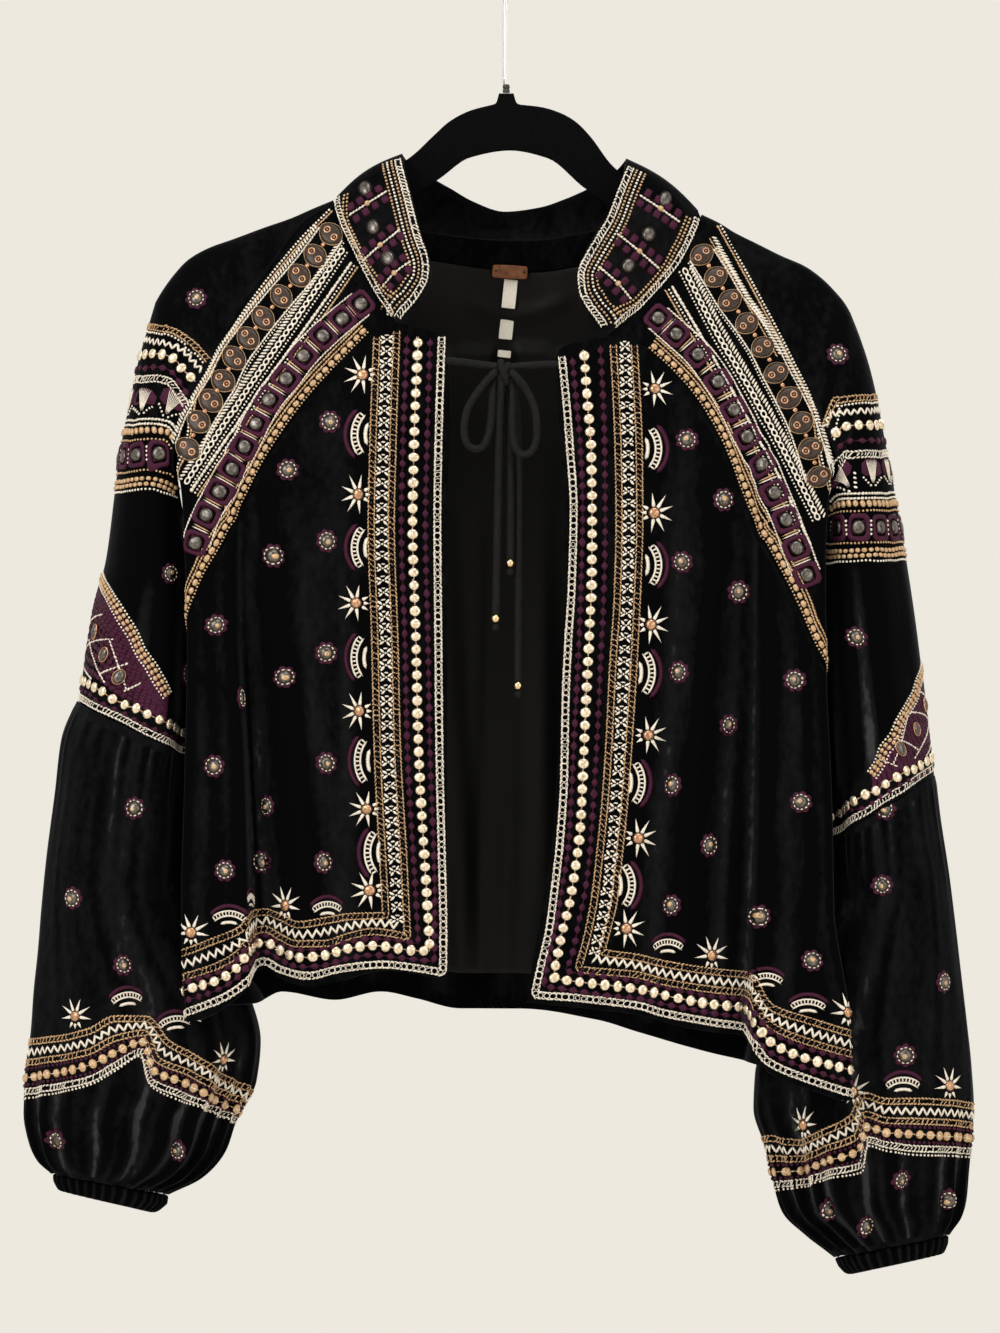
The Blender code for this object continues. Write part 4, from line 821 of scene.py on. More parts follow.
threads = [
    thread_surface("cream_silk_thread", (0.84, 0.79, 0.71), (0.44, 0.38, 0.31), 0.55),
    thread_surface("copper_gold_thread", (0.66, 0.45, 0.26), (0.20, 0.11, 0.055), 0.42, 0.3),
    thread_surface("purple_satin_thread", (0.056, 0.010, 0.031), (0.018, 0.003, 0.010), 0.55,
                   gloss=0.1),
    thread_surface("pale_gold_disc", (0.90, 0.79, 0.62), (0.48, 0.36, 0.23), 0.30, 0.8, 1.6),
    thread_surface("dark_pewter", (0.17, 0.155, 0.145), (0.05, 0.045, 0.042), 0.36, 1.0, 1.6),
    thread_surface("domed_copper", (0.62, 0.36, 0.22), (0.26, 0.13, 0.07), 0.32, 0.9, 1.2),
    thread_surface("brown_enamel", (0.035, 0.02, 0.014), (0.014, 0.008, 0.006), 0.36, 0.0, 1.5)]


def outline_of(count, power=2.0):
    """Closed outline half a unit out: a circle at power 2, a diamond at 1, a square above 4."""
    turn = np.linspace(0, 2 * math.pi, count, endpoint=False)
    c, s = np.cos(turn), np.sin(turn)
    size = 0.5 * (np.abs(c) ** power + np.abs(s) ** power) ** (-1 / power)
    return np.stack([c * size, s * size], 1)


def mound(outline, rings, thread):
    """Small closed mound: an outline drawn in ring by ring as (share, height), flat below."""
    count = len(outline)
    points = [np.column_stack([outline * share, np.full(count, height)])
              for share, height in rings[:-1]]
    points = np.concatenate(points + [[(0, 0, rings[-1][1])]])
    quads = grid_faces(len(rings) - 1, count, closed=True)
    top = (len(rings) - 2) * count
    edge = np.arange(count)
    cap = np.stack([top + edge, top + (edge + 1) % count, np.full(count, len(points) - 1)], 1)
    foot = np.stack([np.zeros(count - 2, int), edge[2:], edge[1:-1]], 1)
    faces = np.concatenate([in_threes(quads), cap, foot])
    return points, faces, np.full(len(faces), thread)


def ring_shape(count, inner, thread, power=2.0):
    """Small closed ring, half a unit out and `inner` of that in, rounded on top."""
    outline = outline_of(count, power)
    points = np.concatenate([np.column_stack([outline * share, np.full(count, height)])
                             for share, height in ((1, -0.2), (0.97, 0.6), ((1 + inner) / 2, 1),
                                                   (inner * 1.04, 0.6), (inner, -0.2))])
    quads = grid_faces(5, count, closed=True)
    last = grid_faces(2, count, closed=True)
    last = np.where(last < count, last + 4 * count, last - count)
    faces = in_threes(np.concatenate([quads, last]))
    return points, faces, np.full(len(faces), thread)


def strip(line, wide, high, thread):
    """Padded strip of thread along a flat line, pointed at both ends, arched across."""
    line = np.array(line, float)
    way = unit(np.gradient(line, axis=0))
    beside = np.stack([-way[:, 1], way[:, 0]], 1)
    inner = slice(1, -1)
    rings = [np.column_stack([line[inner] + beside[inner] * (wide * y), np.full(len(line) - 2, z)])
             for y, z in ((-0.5, 0.2 * high), (0, -0.3), (0.5, 0.2 * high), (0, high))]
    points = np.stack(rings, 1).reshape(-1, 3)
    quads = grid_faces(len(line) - 2, 4, closed=True)
    first, last = len(points), len(points) + 1
    points = np.concatenate([points, [[*line[0], 0.1], [*line[-1], 0.1]]])
    edge = np.arange(4)
    after = (edge + 1) % 4
    foot = first - 4
    faces = np.concatenate([in_threes(quads), np.stack([after, edge, np.full(4, first)], 1),
                            np.stack([foot + edge, foot + after, np.full(4, last)], 1)])
    return points, faces, np.full(len(faces), thread)


def set_at(shape, x=0.0, y=0.0, turn=0.0, size=(1, 1, 1), lift=0.0):
    """A small shape sized, turned by degrees and moved, before it is sewn on."""
    points, faces, thread = shape
    points = points * np.array(size)
    c, s = math.cos(math.radians(turn)), math.sin(math.radians(turn))
    return (np.stack([x + points[:, 0] * c - points[:, 1] * s,
                      y + points[:, 0] * s + points[:, 1] * c, points[:, 2] + lift], 1),
            faces, thread)


def stitch(thread):
    """One straight stitch, a unit long: a spindle of thread."""
    return strip([(-0.5, 0), (-0.24, 0), (0.24, 0), (0.5, 0)], 1.0, 1.0, thread)


def knot_of(thread):
    """Round knot or small bead."""
    return mound(outline_of(6), [(1, -0.2), (0.8, 0.65), (0, 1)], thread)


def satin_leaf(thread, power=1.3):
    """Padded satin stitch: a diamond, or rounder at a higher power."""
    return mound(outline_of(8, power), [(1, -0.2), (0.74, 0.7), (0, 1)], thread)


def disc(thread, count=14):
    """Domed metal disc."""
    return mound(outline_of(count), [(1, -0.2), (1, 0.3), (0.84, 0.68), (0.5, 0.92), (0, 1)],
                 thread)


spike = mound(np.array([(0.7, 0), (0.35, 0.2), (0.05, 0.42), (-0.15, 0.5), (-0.3, 0.3),
                        (-0.3, -0.3), (-0.15, -0.5), (0.05, -0.42), (0.35, -0.2)]),
              [(1, -0.2), (0.68, 0.65), (0, 1)], CREAM)


def arc(centre, radius, spread, count):
    """Points of an arc of a circle to both sides of the x axis."""
    turn = np.radians(np.linspace(-spread, spread, count))
    return np.stack([centre + radius * np.cos(turn), radius * np.sin(turn)], 1)


# Star: cream spikes round a domed copper centre in a brown ring. The small gold knot set off the
# centre's middle is a painted glint.
star = group([set_at(spike, 6.6 * math.cos(math.radians(a)), 6.6 * math.sin(math.radians(a)), a,
                     (long, 2.7, 0.9))
              for a, long in ((-98, 11), (-60, 12.5), (-21, 11), (21, 11.5), (58, 12.5), (98, 11),
                              (150, 5.5), (-150, 5.5), (180, 4.5))]
             + [set_at(disc(COPPER, 16), size=(7.4, 7.4, 2.2)),
                set_at(ring_shape(16, 0.8, BROWN), size=(8.6, 8.6, 0.8)),
                set_at(knot_of(GOLD), 0.4, -0.5, 0, (2.0, 2.0, 0.5), 2.0)])
crescent = group(
    [strip(arc(centre, radius, spread, count), wide, high, thread)
     for centre, radius, spread, count, wide, high, thread in (
         (-21.3, 20.3, 42, 12, 1.5, 0.8, CREAM), (-21.3, 24.4, 38, 12, 1.5, 0.8, CREAM),
         (-14.9, 22.4, 50, 14, 3.4, 1.1, PURPLE), (-26, 19.6, 24, 8, 2.6, 1.0, CREAM))]
    + [set_at(stitch(CREAM), x, y, math.degrees(math.atan2(y, x + 21.3)), (4.4, 1.2, 0.8))
       for x, y in arc(-21.3, 22.4, 37, 11)])
# Roundel: purple petals, a brown field, a pewter dome and a ring of cream stitches. The small gold
# disc set off the dome's middle is a painted glint.
roundel = group(
    [set_at(mound(np.array([(math.cos(t) * r, math.sin(t) * r) for t, r in zip(
        np.linspace(0, 2 * math.pi, 32, endpoint=False), [0.5, 0.475, 0.4, 0.475] * 8)]),
        [(1, -0.1), (0.9, 0.5), (0.55, 0.55), (0, 0.55)], PURPLE), size=(17.2, 17.2, 1.1)),
     set_at(mound(outline_of(18), [(1, -0.1), (0.97, 1), (0, 1)], BROWN), size=(12.4, 12.4, 1.2)),
     set_at(disc(PEWTER, 18), size=(8.2, 8.2, 2.2), lift=0.3),
     set_at(disc(GOLD, 12), -0.5, 0.6, 0, (3.6, 3.6, 0.6), 2.1)]
    + [set_at(stitch(CREAM), 5.4 * math.cos(t), 5.4 * math.sin(t), math.degrees(t) + 90,
              (2.2, 1.0, 0.7), 0.95) for t in np.linspace(0, 2 * math.pi, 11, endpoint=False)])


class Panel:
    """A cloth to sew on: its point function, a small step of each of its two measures, its
    outside (1 or -1), and all that is sewn on it so far.
    """

    def __init__(self, point, step_a, step_b, outside):
        self.point, self.step_a, self.step_b, self.outside = point, step_a, step_b, outside
        self.sewn = []


def frames(panel, at, way):
    """At places on a cloth: its slopes by each of its two measures, its unit normal, way
    ahead and way to the side.
    """
    a, b = at[..., 0], at[..., 1]
    by_a, by_b = [(panel.point(a + da, b + db) - panel.point(a - da, b - db)) / (2 * (da + db))
                  for da, db in ((panel.step_a, 0), (0, panel.step_b))]
    normal = unit(panel.outside * np.cross(by_b, by_a))
    ahead = unit(by_a * way[..., :1] + by_b * way[..., 1:])
    return by_a, by_b, normal, ahead, np.cross(normal, ahead)


def carried(by_a, by_b, shift):
    """Change of a cloth's two measures that carries a point of it by a short shift."""
    aa, ab, bb = (by_a * by_a).sum(-1), (by_a * by_b).sum(-1), (by_b * by_b).sum(-1)
    sa, sb = (shift * by_a).sum(-1), (shift * by_b).sum(-1)
    return np.stack([sa * bb - sb * ab, sb * aa - sa * ab], -1) / (aa * bb - ab * ab)[..., None]


def lay(panel, path, pitch, aside=0.0):
    """Even places along a path on a cloth, moved aside by millimetres, and the way there."""
    line = evenly(path, len(path) * 16 + 20)
    way = np.gradient(line, axis=0)
    if aside:
        by_a, by_b, _, _, beside = frames(panel, line, way)
        line = line + carried(by_a, by_b, beside * aside)
        way = np.gradient(line, axis=0)
    run = run_along(panel.point(line[:, 0], line[:, 1]))
    count = max(int(run[-1] / pitch), 1)
    want = (np.arange(count) + 0.5) * run[-1] / count
    return tuple(np.stack([np.interp(want, run, c) for c in table.T], 1) for table in (line, way))


def sew(panel, shape, places, size=(1, 1, 1), turn=0.0, lift=0.0, uneven=0.08, broad=False):
    """Copies of a small shape on a cloth at its places, each a little different in size and
    turn. A broad shape bends with the cloth, and a narrow one lies on its slope.
    """
    at, way = places
    points, faces, thread = shape
    by_a, by_b, normal, ahead, beside = frames(panel, at, way)
    count = len(at)
    sizes = np.array(size) * (1 + uneven * chance.uniform(-1, 1, (count, 3)))
    angle = np.radians(turn + 60 * uneven * chance.uniform(-1, 1, count))[:, None]
    x, y = points[:, 0] * sizes[:, :1], points[:, 1] * sizes[:, 1:2]
    shift = ((x * np.cos(angle) - y * np.sin(angle))[..., None] * ahead[:, None]
             + (x * np.sin(angle) + y * np.cos(angle))[..., None] * beside[:, None])
    if broad:
        spot = at[:, None] + carried(by_a[:, None], by_b[:, None], shift)
        ground = panel.point(spot[..., 0], spot[..., 1])
        normal = frames(panel, spot, way[:, None])[2]
    else:
        ground = panel.point(at[:, 0], at[:, 1])[:, None] + shift
        normal = normal[:, None]
    height = points[:, 2] * sizes[:, 2:] + lift + VELVET / 2
    start = len(points) * np.arange(count)
    panel.sewn.append(((ground + normal * height[..., None]).reshape(-1, 3),
                       (faces[None] + start[:, None, None]).reshape(-1, 3), np.tile(thread, count)))


def cord_row(panel, path, aside, thread, wide=1.5, link=3.2, lean=10, high=0.8):
    """Twisted thread along a path, as stitches that overlap like the strands of a rope."""
    sew(panel, stitch(thread), lay(panel, path, link * 0.78, aside), (link, wide, high), lean,
        uneven=0.18)


def ladder_row(panel, path, thread, half, rung, wide=1.4):
    """Chain-stitch border: a loose rope to each side, and slanted loops between them."""
    for side_way in (-1, 1):
        cord_row(panel, path, side_way * half, thread, wide * 0.86, 3.6, 15 * side_way)
    at, way = lay(panel, path, rung)
    kept = chance.random(len(at)) < 0.82
    sew(panel, stitch(thread), (at[kept], way[kept]), (2.2 * half, 0.85, 0.7), 62, uneven=0.38)


def braid_row(panel, path, thread, half):
    """Chain-stitch border: open loops between two wavering threads, never quite alike."""
    sew(panel, ring_shape(8, 0.74, thread), lay(panel, path, 4.3), (4.9, 2 * half, 0.8), 14,
        uneven=0.3)
    for side_way in (-1, 1):
        cord_row(panel, path, half * side_way, thread, 1.15, 3.9, 9 * side_way)


def knot_row(panel, path, aside, thread, wide=1.9, pitch=2.7):
    """Row of small beads or knots."""
    sew(panel, knot_of(thread), lay(panel, path, pitch, aside), (wide, wide, 1.0))


def leaf_row(panel, path, long=7.0, wide=5.4):
    """Row of padded purple satin diamonds on one thin thread."""
    sew(panel, satin_leaf(PURPLE), lay(panel, path, 7.9), (long, wide, 1.2), uneven=0.14)
    cord_row(panel, path, 0, PURPLE, 0.7, 4.0, 0, 0.4)


def disc_row(panel, path, wide=7.5, pitch=8.9, thread=DISC):
    """Row of domed metal discs on a gold thread, each held by a cream stitch over it that is also a
    painted highlight band down its middle.
    """
    places = lay(panel, path, pitch)
    sew(panel, disc(thread), places, (wide * 0.93, wide, 1.9), uneven=0.09)
    sew(panel, stitch(CREAM), places, (wide * 1.1, 0.9, 0.4), 4, 1.5, uneven=0.2)
    cord_row(panel, path, 0, GOLD, 0.8, 3.4, 0, 0.5)


def slant_row(panel, path, thread, long, pitch, lean, aside=0.0):
    """Row of slanted stitches side by side."""
    sew(panel, stitch(thread), lay(panel, path, pitch, aside), (long, 1.5, 0.9), lean)


def tooth_row(panel, path, tall, pitch):
    """Cream zigzag: stitches that lean one way and the other in turn."""
    at, way = lay(panel, path, pitch / 2)
    for first, lean in ((0, 58), (1, -58)):
        sew(panel, stitch(CREAM), (at[first::2], way[first::2]), (tall / 0.82, 1.7, 0.9), lean)


butterfly = group(
    [set_at(satin_leaf(CREAM, 1.6), x, y, a, (4.6, 1.9, 1.0))
     for x, y, a in ((1.7, 2.5, 48), (1.7, -2.5, -52), (-1.7, 2.5, -50), (-1.7, -2.5, 46))]
    + [set_at(knot_of(CREAM), x, y, 0, (1.6, 1.6, 0.9))
       for x, y in ((0, 0), (0.3, -3.9), (-0.3, 3.9))]
    + [set_at(stitch(CREAM), -3.2, 0, 90, (3.4, 1.1, 0.7))])


def embroider(name, panel):
    """All the thread and metal of one panel as one piece."""
    points, faces, which = group(panel.sewn)
    return put_together(name, points, faces, threads, which=which)


def on_front(side):
    """The front's surface of one side as a panel to sew on, which its raglan band shares."""
    return Panel(lambda reach, drop: front_surface(side, reach, drop), 0.4, 0.4, side["sign"])


def past_fold(path):
    """A border's path with a short run more, round the fold at the side."""
    return path + [(path[-1][0] + 17, path[-1][1] + 4)]


def turned_to(places, way):
    """Places of single motifs, all turned one way on the cloth's two measures."""
    places = np.array(places, float).reshape(-1, 2)
    return places, np.broadcast_to(np.array(way, float), places.shape)


# Cuts of the fronts: widest and longest in metres, and area in square metres.
LEFT["front_cut"] = (0.325, 0.50, 0.087)
RIGHT["front_cut"] = (0.35, 0.545, 0.095)
for side, name in SIDES:
    panel = on_front(side)
    rows = {key: past_fold(path) if key != "lattice" else path
            for key, path in side["borders"].items()}
    braid_row(panel, rows["white"], CREAM, 2.2)
    leaf_row(panel, rows["purple_out"])
    disc_row(panel, rows["coins"])
    leaf_row(panel, rows["purple_in"])
    for key in ("gold_out", "gold_in"):
        ladder_row(panel, rows[key], GOLD, 2.1, 3.6, wide=1.2)
        slant_row(panel, rows[key], BROWN, 2.2, 3.6, 0)
    sew(panel, butterfly, lay(panel, rows["lattice"], 8.4), uneven=0.16)
    tooth_row(panel, rows["teeth"], 7.0, 6.0)
    outward, upward = side["stars"][:6], side["stars"][6:]
    sew(panel, star, turned_to(outward, (1, 0)), broad=True, uneven=0.05)
    sew(panel, star, turned_to(upward, (0, -1)), broad=True, uneven=0.05)
    sew(panel, crescent, turned_to(side["crescents"][:5], (1, 0)), broad=True, uneven=0.04)
    sew(panel, crescent, turned_to(side["crescents"][5:], (0, -1)), size=(0.8, 0.8, 1),
        broad=True, uneven=0.04)
    sew(panel, roundel, turned_to(side["roundels"], (1, 0.3)), broad=True, uneven=0.06)
    sewn = embroider("embroidery_front_" + name, panel)
    wide, long, area = side["front_cut"]

# ---------------------------------------------------------------------------------------
# Raglan bands: a strip of velvet between front and sleeve, covered with embroidery. Its rows
# are oval medals, chains and framed discs, with a gold rope and beads along the front's seam.


def band_seams(side):
    """Ends of a raglan band's rows, on its lower seam and its upper one, as (reach, drop)."""
    columns = front_columns(side)
    tip = columns.index((1, 0.0))
    inner = []
    for column in columns[tip:]:
        drop = column_meets(side, column, side["under_band"], 450.0)
        inner.append((float(column_reach(side, column, drop)), drop))
    inner = np.array(inner)
    run = run_along(inner)
    fine = evenly(side["over_band"], 400)
    return inner, fine[np.rint(run / run[-1] * 399).astype(int)]


def band_grid(side, columns):
    """Grid of a raglan band from the collar's seam to its end in the tuck."""
    inner, outer = band_seams(side)
    w = np.linspace(0, 1, columns)[None, :, None]
    trim = SEAM_GAP * np.linspace(2.0, -1.6, columns)[None, :, None]
    across = (inner - outer)[:, None]
    flat = outer[:, None] + across * w + unit(across) * trim
    bulge = evenly(side["collar_seam"], columns) - (outer[0] + (inner - outer)[0] * w[0])
    fade = np.clip(1 - np.arange(len(inner)) / 16, 0, 1)[:, None, None]
    flat = flat + bulge[None] * fade
    flat[-1, :, 0] = along(side["fold"], flat[-1, :, 1]) - FOLD_RADIUS + TUCK
    return front_surface(side, flat[..., 0], flat[..., 1])


for side, name in SIDES:
    cloth("velvet_raglan_band_" + name, band_grid(side, 26), VELVET, black_velvet,
                        outside=side["sign"])
    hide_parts("raglan_band_" + name)

LEFT["band_rows"] = {"band_edge": [(122.5, 199.2), (143.5, 220.6), (170.1, 253.5), (188.3, 279.4),
    (204.4, 307.4), (218.4, 334), (223.3, 366.2), (233.8, 388.6)], "ovals": [(122.1, 217.1), (133,
    232.5), (144.2, 246.5), (156.8, 261.2), (169.4, 276.6), (179.9, 290.6), (189.7, 304.6),
    (197.4, 320.7), (205.8, 334.7), (214.2, 349.4), (221.6, 368.3)], "band_chain": [(113.4,
    227.6), (140.7, 268.9), (162.8, 301.1), (193.9, 347.3), (223.3, 392.8)], "band_line": [(107.5,
    237.4), (135.8, 278), (163.8, 316.5), (191.8, 357.1), (219.8, 398.4)], "discs": [(100.8,
    266.8), (113.8, 277.3), (127.4, 289.2), (141.1, 303.2), (153.3, 319.3), (165.2, 334), (174.3,
    350.8), (182.4, 366.9), (191.1, 382.6), (199.5, 398.4), (208.6, 414.5), (216, 434.1)]}
RIGHT["band_rows"] = {"band_edge": [(150.9, 210.1), (175, 254.2), (200.9, 304.6), (216.3, 339.6),
    (221.9, 377.4), (228.9, 397)], "ovals": [(137.9, 231.8), (147.7, 247.5), (157.5, 264), (169.4,
    280.1), (180.6, 296.9), (189.7, 315.1), (198.8, 332.6), (207.2, 350.1), (213.5, 368.3),
    (219.1, 387.9)], "band_slant": [(146.4, 218.6), (157.6, 238.6), (169.4, 259.6), (182.3, 281.6),
    (193.6, 302.4)], "band_chain": [(125.3, 241.6), (149.1, 288.5), (172.9, 329.1), (197.4,
    374.6), (219.1, 418)], "band_line": [(116.9, 254.2), (139.3, 292.7), (163.1, 335.4), (189,
    383), (213.5, 435.5)], "discs": [(107.1, 276.6), (119.7, 287.8), (135.1, 302.1), (149.1,
    321.4), (160, 341), (169.4, 359.9), (179.9, 379.1), (188.3, 399.1), (196.4, 418), (203.7,
    437.6), (210.7, 456.5)]}
oval_medal = group(
    [set_at(mound(outline_of(20), [(1, -0.2), (0.95, 0.6), (0.7, 0.95), (0, 1)], BROWN),
            size=(18.4, 14.2, 1.5)),
     set_at(ring_shape(24, 0.9, GOLD, 1.7), size=(20.2, 16.2, 0.9))]
    + [set_at(ring_shape(14, 0.55, COPPER), x, 0, 0, (5.6, 5.6, 1.0), 1.2) for x in (-3.9, 3.9)]
    + [set_at(knot_of(COPPER), x, 0, 0, (1.6, 1.6, 0.8), 1.3) for x in (-3.9, 3.9)])
framed_disc = group(
    [set_at(ring_shape(20, 0.62, PURPLE, 6), size=(16.6, 19.4, 1.3)),
     set_at(stitch(PURPLE), 0, 0, 42, (17, 4.6, 0.7), 0.1),
     set_at(disc(PEWTER, 18), size=(9.4, 9.4, 1.7), lift=0.5),
     set_at(ring_shape(18, 0.9, BROWN), size=(10.4, 10.4, 1.2), lift=0.3)])
link = set_at(ring_shape(10, 0.55, CREAM), size=(6.2, 4.4, 1.1))
flat_bead = mound(outline_of(10, 2.6), [(1, -0.2), (0.85, 0.7), (0, 1)], GOLD)


def singles(places):
    """Single places along a line, each with the way that the line runs there."""
    places = np.array(places, float)
    return places, np.gradient(places, axis=0)


LEFT["band_cut"] = (0.075, 0.36, 0.0195)
RIGHT["band_cut"] = (0.08, 0.375, 0.0215)
for side, name in SIDES:
    panel = on_front(side)
    rows = side["band_rows"]
    low = -side["sign"]
    knot_row(panel, rows["band_edge"], 0, CREAM, 1.9, 2.6)
    cord_row(panel, rows["band_edge"], low * 2.2, GOLD)
    for at in (-9.9, 9.9):
        cord_row(panel, rows["ovals"], low * at, CREAM, 1.3)
    slant_row(panel, rows["ovals"], CREAM, 4.6, 2.5, 55, low * -12.6)
    knot_row(panel, rows["ovals"], low * 11.8, CREAM, 1.4, 2.4)
    sew(panel, oval_medal, singles(rows["ovals"]), turn=86 + 14 * side["sign"],
        broad=True, uneven=0.05)
    between = (np.array(rows["ovals"][1:]) + np.array(rows["ovals"][:-1])) / 2
    sew(panel, disc(COPPER, 10), singles(between), (3.6, 3.6, 1.8), uneven=0.05)
    slant_row(panel, rows["band_chain"], CREAM, 5.2, 2.7, -55, low * -5.0)
    knot_row(panel, rows["band_chain"], low * 4.2, CREAM, 1.6, 2.6)
    sew(panel, link, lay(panel, rows["band_chain"], 5.0), uneven=0.06)
    cord_row(panel, rows["band_line"], 0, CREAM, 2.2, 4.0, 6, 1.1)
    knot_row(panel, rows["band_line"], low * 3.2, CREAM, 1.7, 2.7)
    cord_row(panel, rows["band_line"], low * 5.8, GOLD)
    sew(panel, framed_disc, singles(rows["discs"]), broad=True, uneven=0.04)
    between = (np.array(rows["discs"][1:]) + np.array(rows["discs"][:-1])) / 2
    for at in (-0.9, 0.9):
        places, way = singles(between)
        by_a, by_b, _, ahead, _ = frames(panel, places, way)
        places = places + carried(by_a, by_b, ahead * at)
        sew(panel, stitch(CREAM if at > 0 else GOLD), (places, way), (17, 1.1, 1.3), 90,
            uneven=0.05)
    for at in (-10.2, 10.2):
        cord_row(panel, rows["discs"], low * at, CREAM, 1.2)
    if "band_slant" in rows:
        slant_row(panel, rows["band_slant"], CREAM, 4.8, 2.5, 55)
        cord_row(panel, rows["band_slant"], low * 3.4, GOLD, 1.2)
    seam = smoothed(evenly([row for row in side["under_band"] if row[0] > 92], 60), 14)
    for at in (-10.4, -7.8):
        cord_row(panel, seam, low * at, GOLD)
    sew(panel, flat_bead, lay(panel, seam, 6.2, low * -4.6), (5.6, 4.0, 1.4))
    knot_row(panel, seam, low * -1.7, GOLD, 1.7, 2.6)
    sewn = embroider("embroidery_raglan_band_" + name, panel)
    wide, long, area = side["band_cut"]

# ---------------------------------------------------------------------------------------
# Back: one velvet panel with its side parts wrapped forward, in soft folds down to the hem.
# Inside it are the velvet facing of the neck and the black satin lining.
SATIN = 1.0
BACK_FULLNESS = 44.0
BACK_HEM = [(-240, 764), (-200, 758), (-175, 757), (-158, 750), (-120, 756), (-88, 750),
            (-62, 755), (-31, 762), (10, 762), (65, 770), (92, 778), (144, 793), (176, 800),
            (205, 808), (250, 818)]
BACK_NECK = [(-135, 204), (-119, 199), (-100, 203.4), (-80, 209), (-52, 214), (0, 219),
             (20, 219), (56, 214), (95, 207.5), (120, 207), (137, 209.6), (152, 217)]
# Folds of the back: x at the top and the hem, width, rise at both. Creases have one rise.
BACK_FOLDS = [(-150, -128, 26, 0, 9), (-84, -70, 22, 0, 7), (-28, -22, 20, 0, 8),
              (34, 40, 24, 0, 7), (92, 82, 22, 0, 8), (158, 138, 26, 0, 9)]
BACK_CREASES = [(-176, -160, 7, 1.6), (-112, -102, 6, 1.4), (-52, -46, 5, -1.2), (6, 10, 6, 1.3),
                (64, 58, 5, -1.2), (120, 112, 6, 1.5), (182, 166, 7, 1.6)]
FACING_DEEP = [(-135, 8), (-86, 17), (-52, 18), (-9, 20), (18, 22), (52, 21), (86, 17), (137, 8)]
HEM_FACING = 25.0
FACING_REACH = 86.0
LINING_REACH = 150.0
LAYER_GAP = 0.3
# Folds of the lining: reach, how far they lean over 400 mm, width and rise.
LINING_FOLDS = [(-34, 14, 9, 2.6), (-6, -10, 7, 2.0), (24, 6, 10, 2.8), (62, 12, 9, 2.0),
                (-70, -6, 10, 2.0)]


def back_depth(x, drop):
    """How far the back stands behind the hanger at x to the viewer's right, with its folds."""
    reach = np.abs(x)
    depth = np.where(x < 0, *[hang_depth(side, reach, drop, BACK_FULLNESS) for side, _ in SIDES])
    share = smooth_step(drop, 300, 760)
    for top, hem, width, rise_top, rise_hem in BACK_FOLDS:
        middle = top + (hem - top) * share
        rise = rise_top + (rise_hem - rise_top) * share
        depth = depth + rise * (np.exp(-((x - middle) / width) ** 2) - 0.4)
    for top, hem, width, rise in BACK_CREASES:
        middle = top + (hem - top) * share + 3 * np.sin(drop / 70 + top)
        depth = depth + rise * share * np.exp(-((x - middle) / width) ** 2)
    return depth


def back_half(side, drop, count):
    """Half of the back's section at one drop, from its front seam or raglan seam inwards."""
    sign = side["sign"]
    wall = float(along(side["wall"], drop))
    inset = float(smooth_step(drop, 640, 750))
    x = sign * np.linspace(wall - 30, 0, 40)
    back = np.stack([x, back_depth(x, drop)], 1)
    tuck = along(side["fold"], drop) - FOLD_RADIUS + TUCK + SEAM_GAP + 0.3
    start = front_surface(side, tuck, np.array(drop, float))
    side_wall = [(start[0] - sign * 1.2 * inset, start[1] + 1.0 * inset),
                 (sign * (wall + 16 * inset), -20 - 10 * inset), (sign * wall, 4),
                 (sign * (wall - 2), 24), (sign * (wall - 14), back[0, 1] - 4)]
    full = evenly(side_wall + back.tolist(), count)
    raglan = [(row[1], row[0]) for row in side["over_band"]]
    seam = float(along(raglan, min(drop, 370) - 1.2)) - 1.0
    x = sign * np.linspace(seam, 0, 50)
    short = evenly(np.stack([x, back_depth(x, drop)], 1), count)
    return short + (full - short) * float(smooth_step(drop, 370, 440))


def back_grid(rows, half, levels=90):
    """Grid of the back: rows down the neck facing, then to its foot, then down the hem."""
    drops = np.linspace(196, 830, levels)
    sections = np.array([np.concatenate([back_half(LEFT, drop, half),
                                         back_half(RIGHT, drop, half)[::-1][1:]])
                         for drop in drops])
    grid = []
    for column in range(sections.shape[1]):
        track = sections[:, column]
        top, hem = 240.0, 760.0
        for _ in range(14):
            neck_x = np.interp(top, drops, track[:, 0])
            top = float(along(BACK_NECK, neck_x))
            hem = float(along(BACK_HEM, np.interp(hem, drops, track[:, 0])))
        facing = top + float(along(FACING_DEEP, neck_x))
        level = np.concatenate([
            np.linspace(top + SEAM_GAP, facing, rows[0], endpoint=False),
            np.linspace(facing, hem - HEM_FACING, rows[1], endpoint=False),
            np.linspace(hem - HEM_FACING, hem, rows[2])])
        x = np.interp(level, drops, track[:, 0])
        y = np.interp(level, drops, track[:, 1])
        grid.append(np.stack([x, y, -level], 1))
    return np.array(grid).transpose(1, 0, 2)


def lining_folds(x, drop):
    """Folds of the loose satin: a sag in a U below the neck and a level pleat across."""
    sag = np.interp(x, [-40, -24, -8, 6, 22, 48], [252, 260, 265.5, 268, 266, 256])
    sag_fade = np.exp(-((x - 10) / 34) ** 6)
    relief = 2.6 * np.exp(-((drop - sag - 4) / 5.0) ** 2) * sag_fade
    pleat = 293 + 5 * (x / 50) ** 2
    relief = relief + 3.2 * smooth_step(drop, pleat, pleat + 2.5) * (
        1 - smooth_step(drop, pleat + 7, pleat + 20)) * np.exp(-(x / 62) ** 8) * (
            1 - np.exp(-((x + 0.5) / 8) ** 4))
    for middle, lean, wide, rise in LINING_FOLDS:
        at = middle + lean * (drop - 300) / 400
        relief = relief + rise * smooth_step(drop, 330, 560) * np.exp(-((x - at) / wide) ** 2)
    return relief


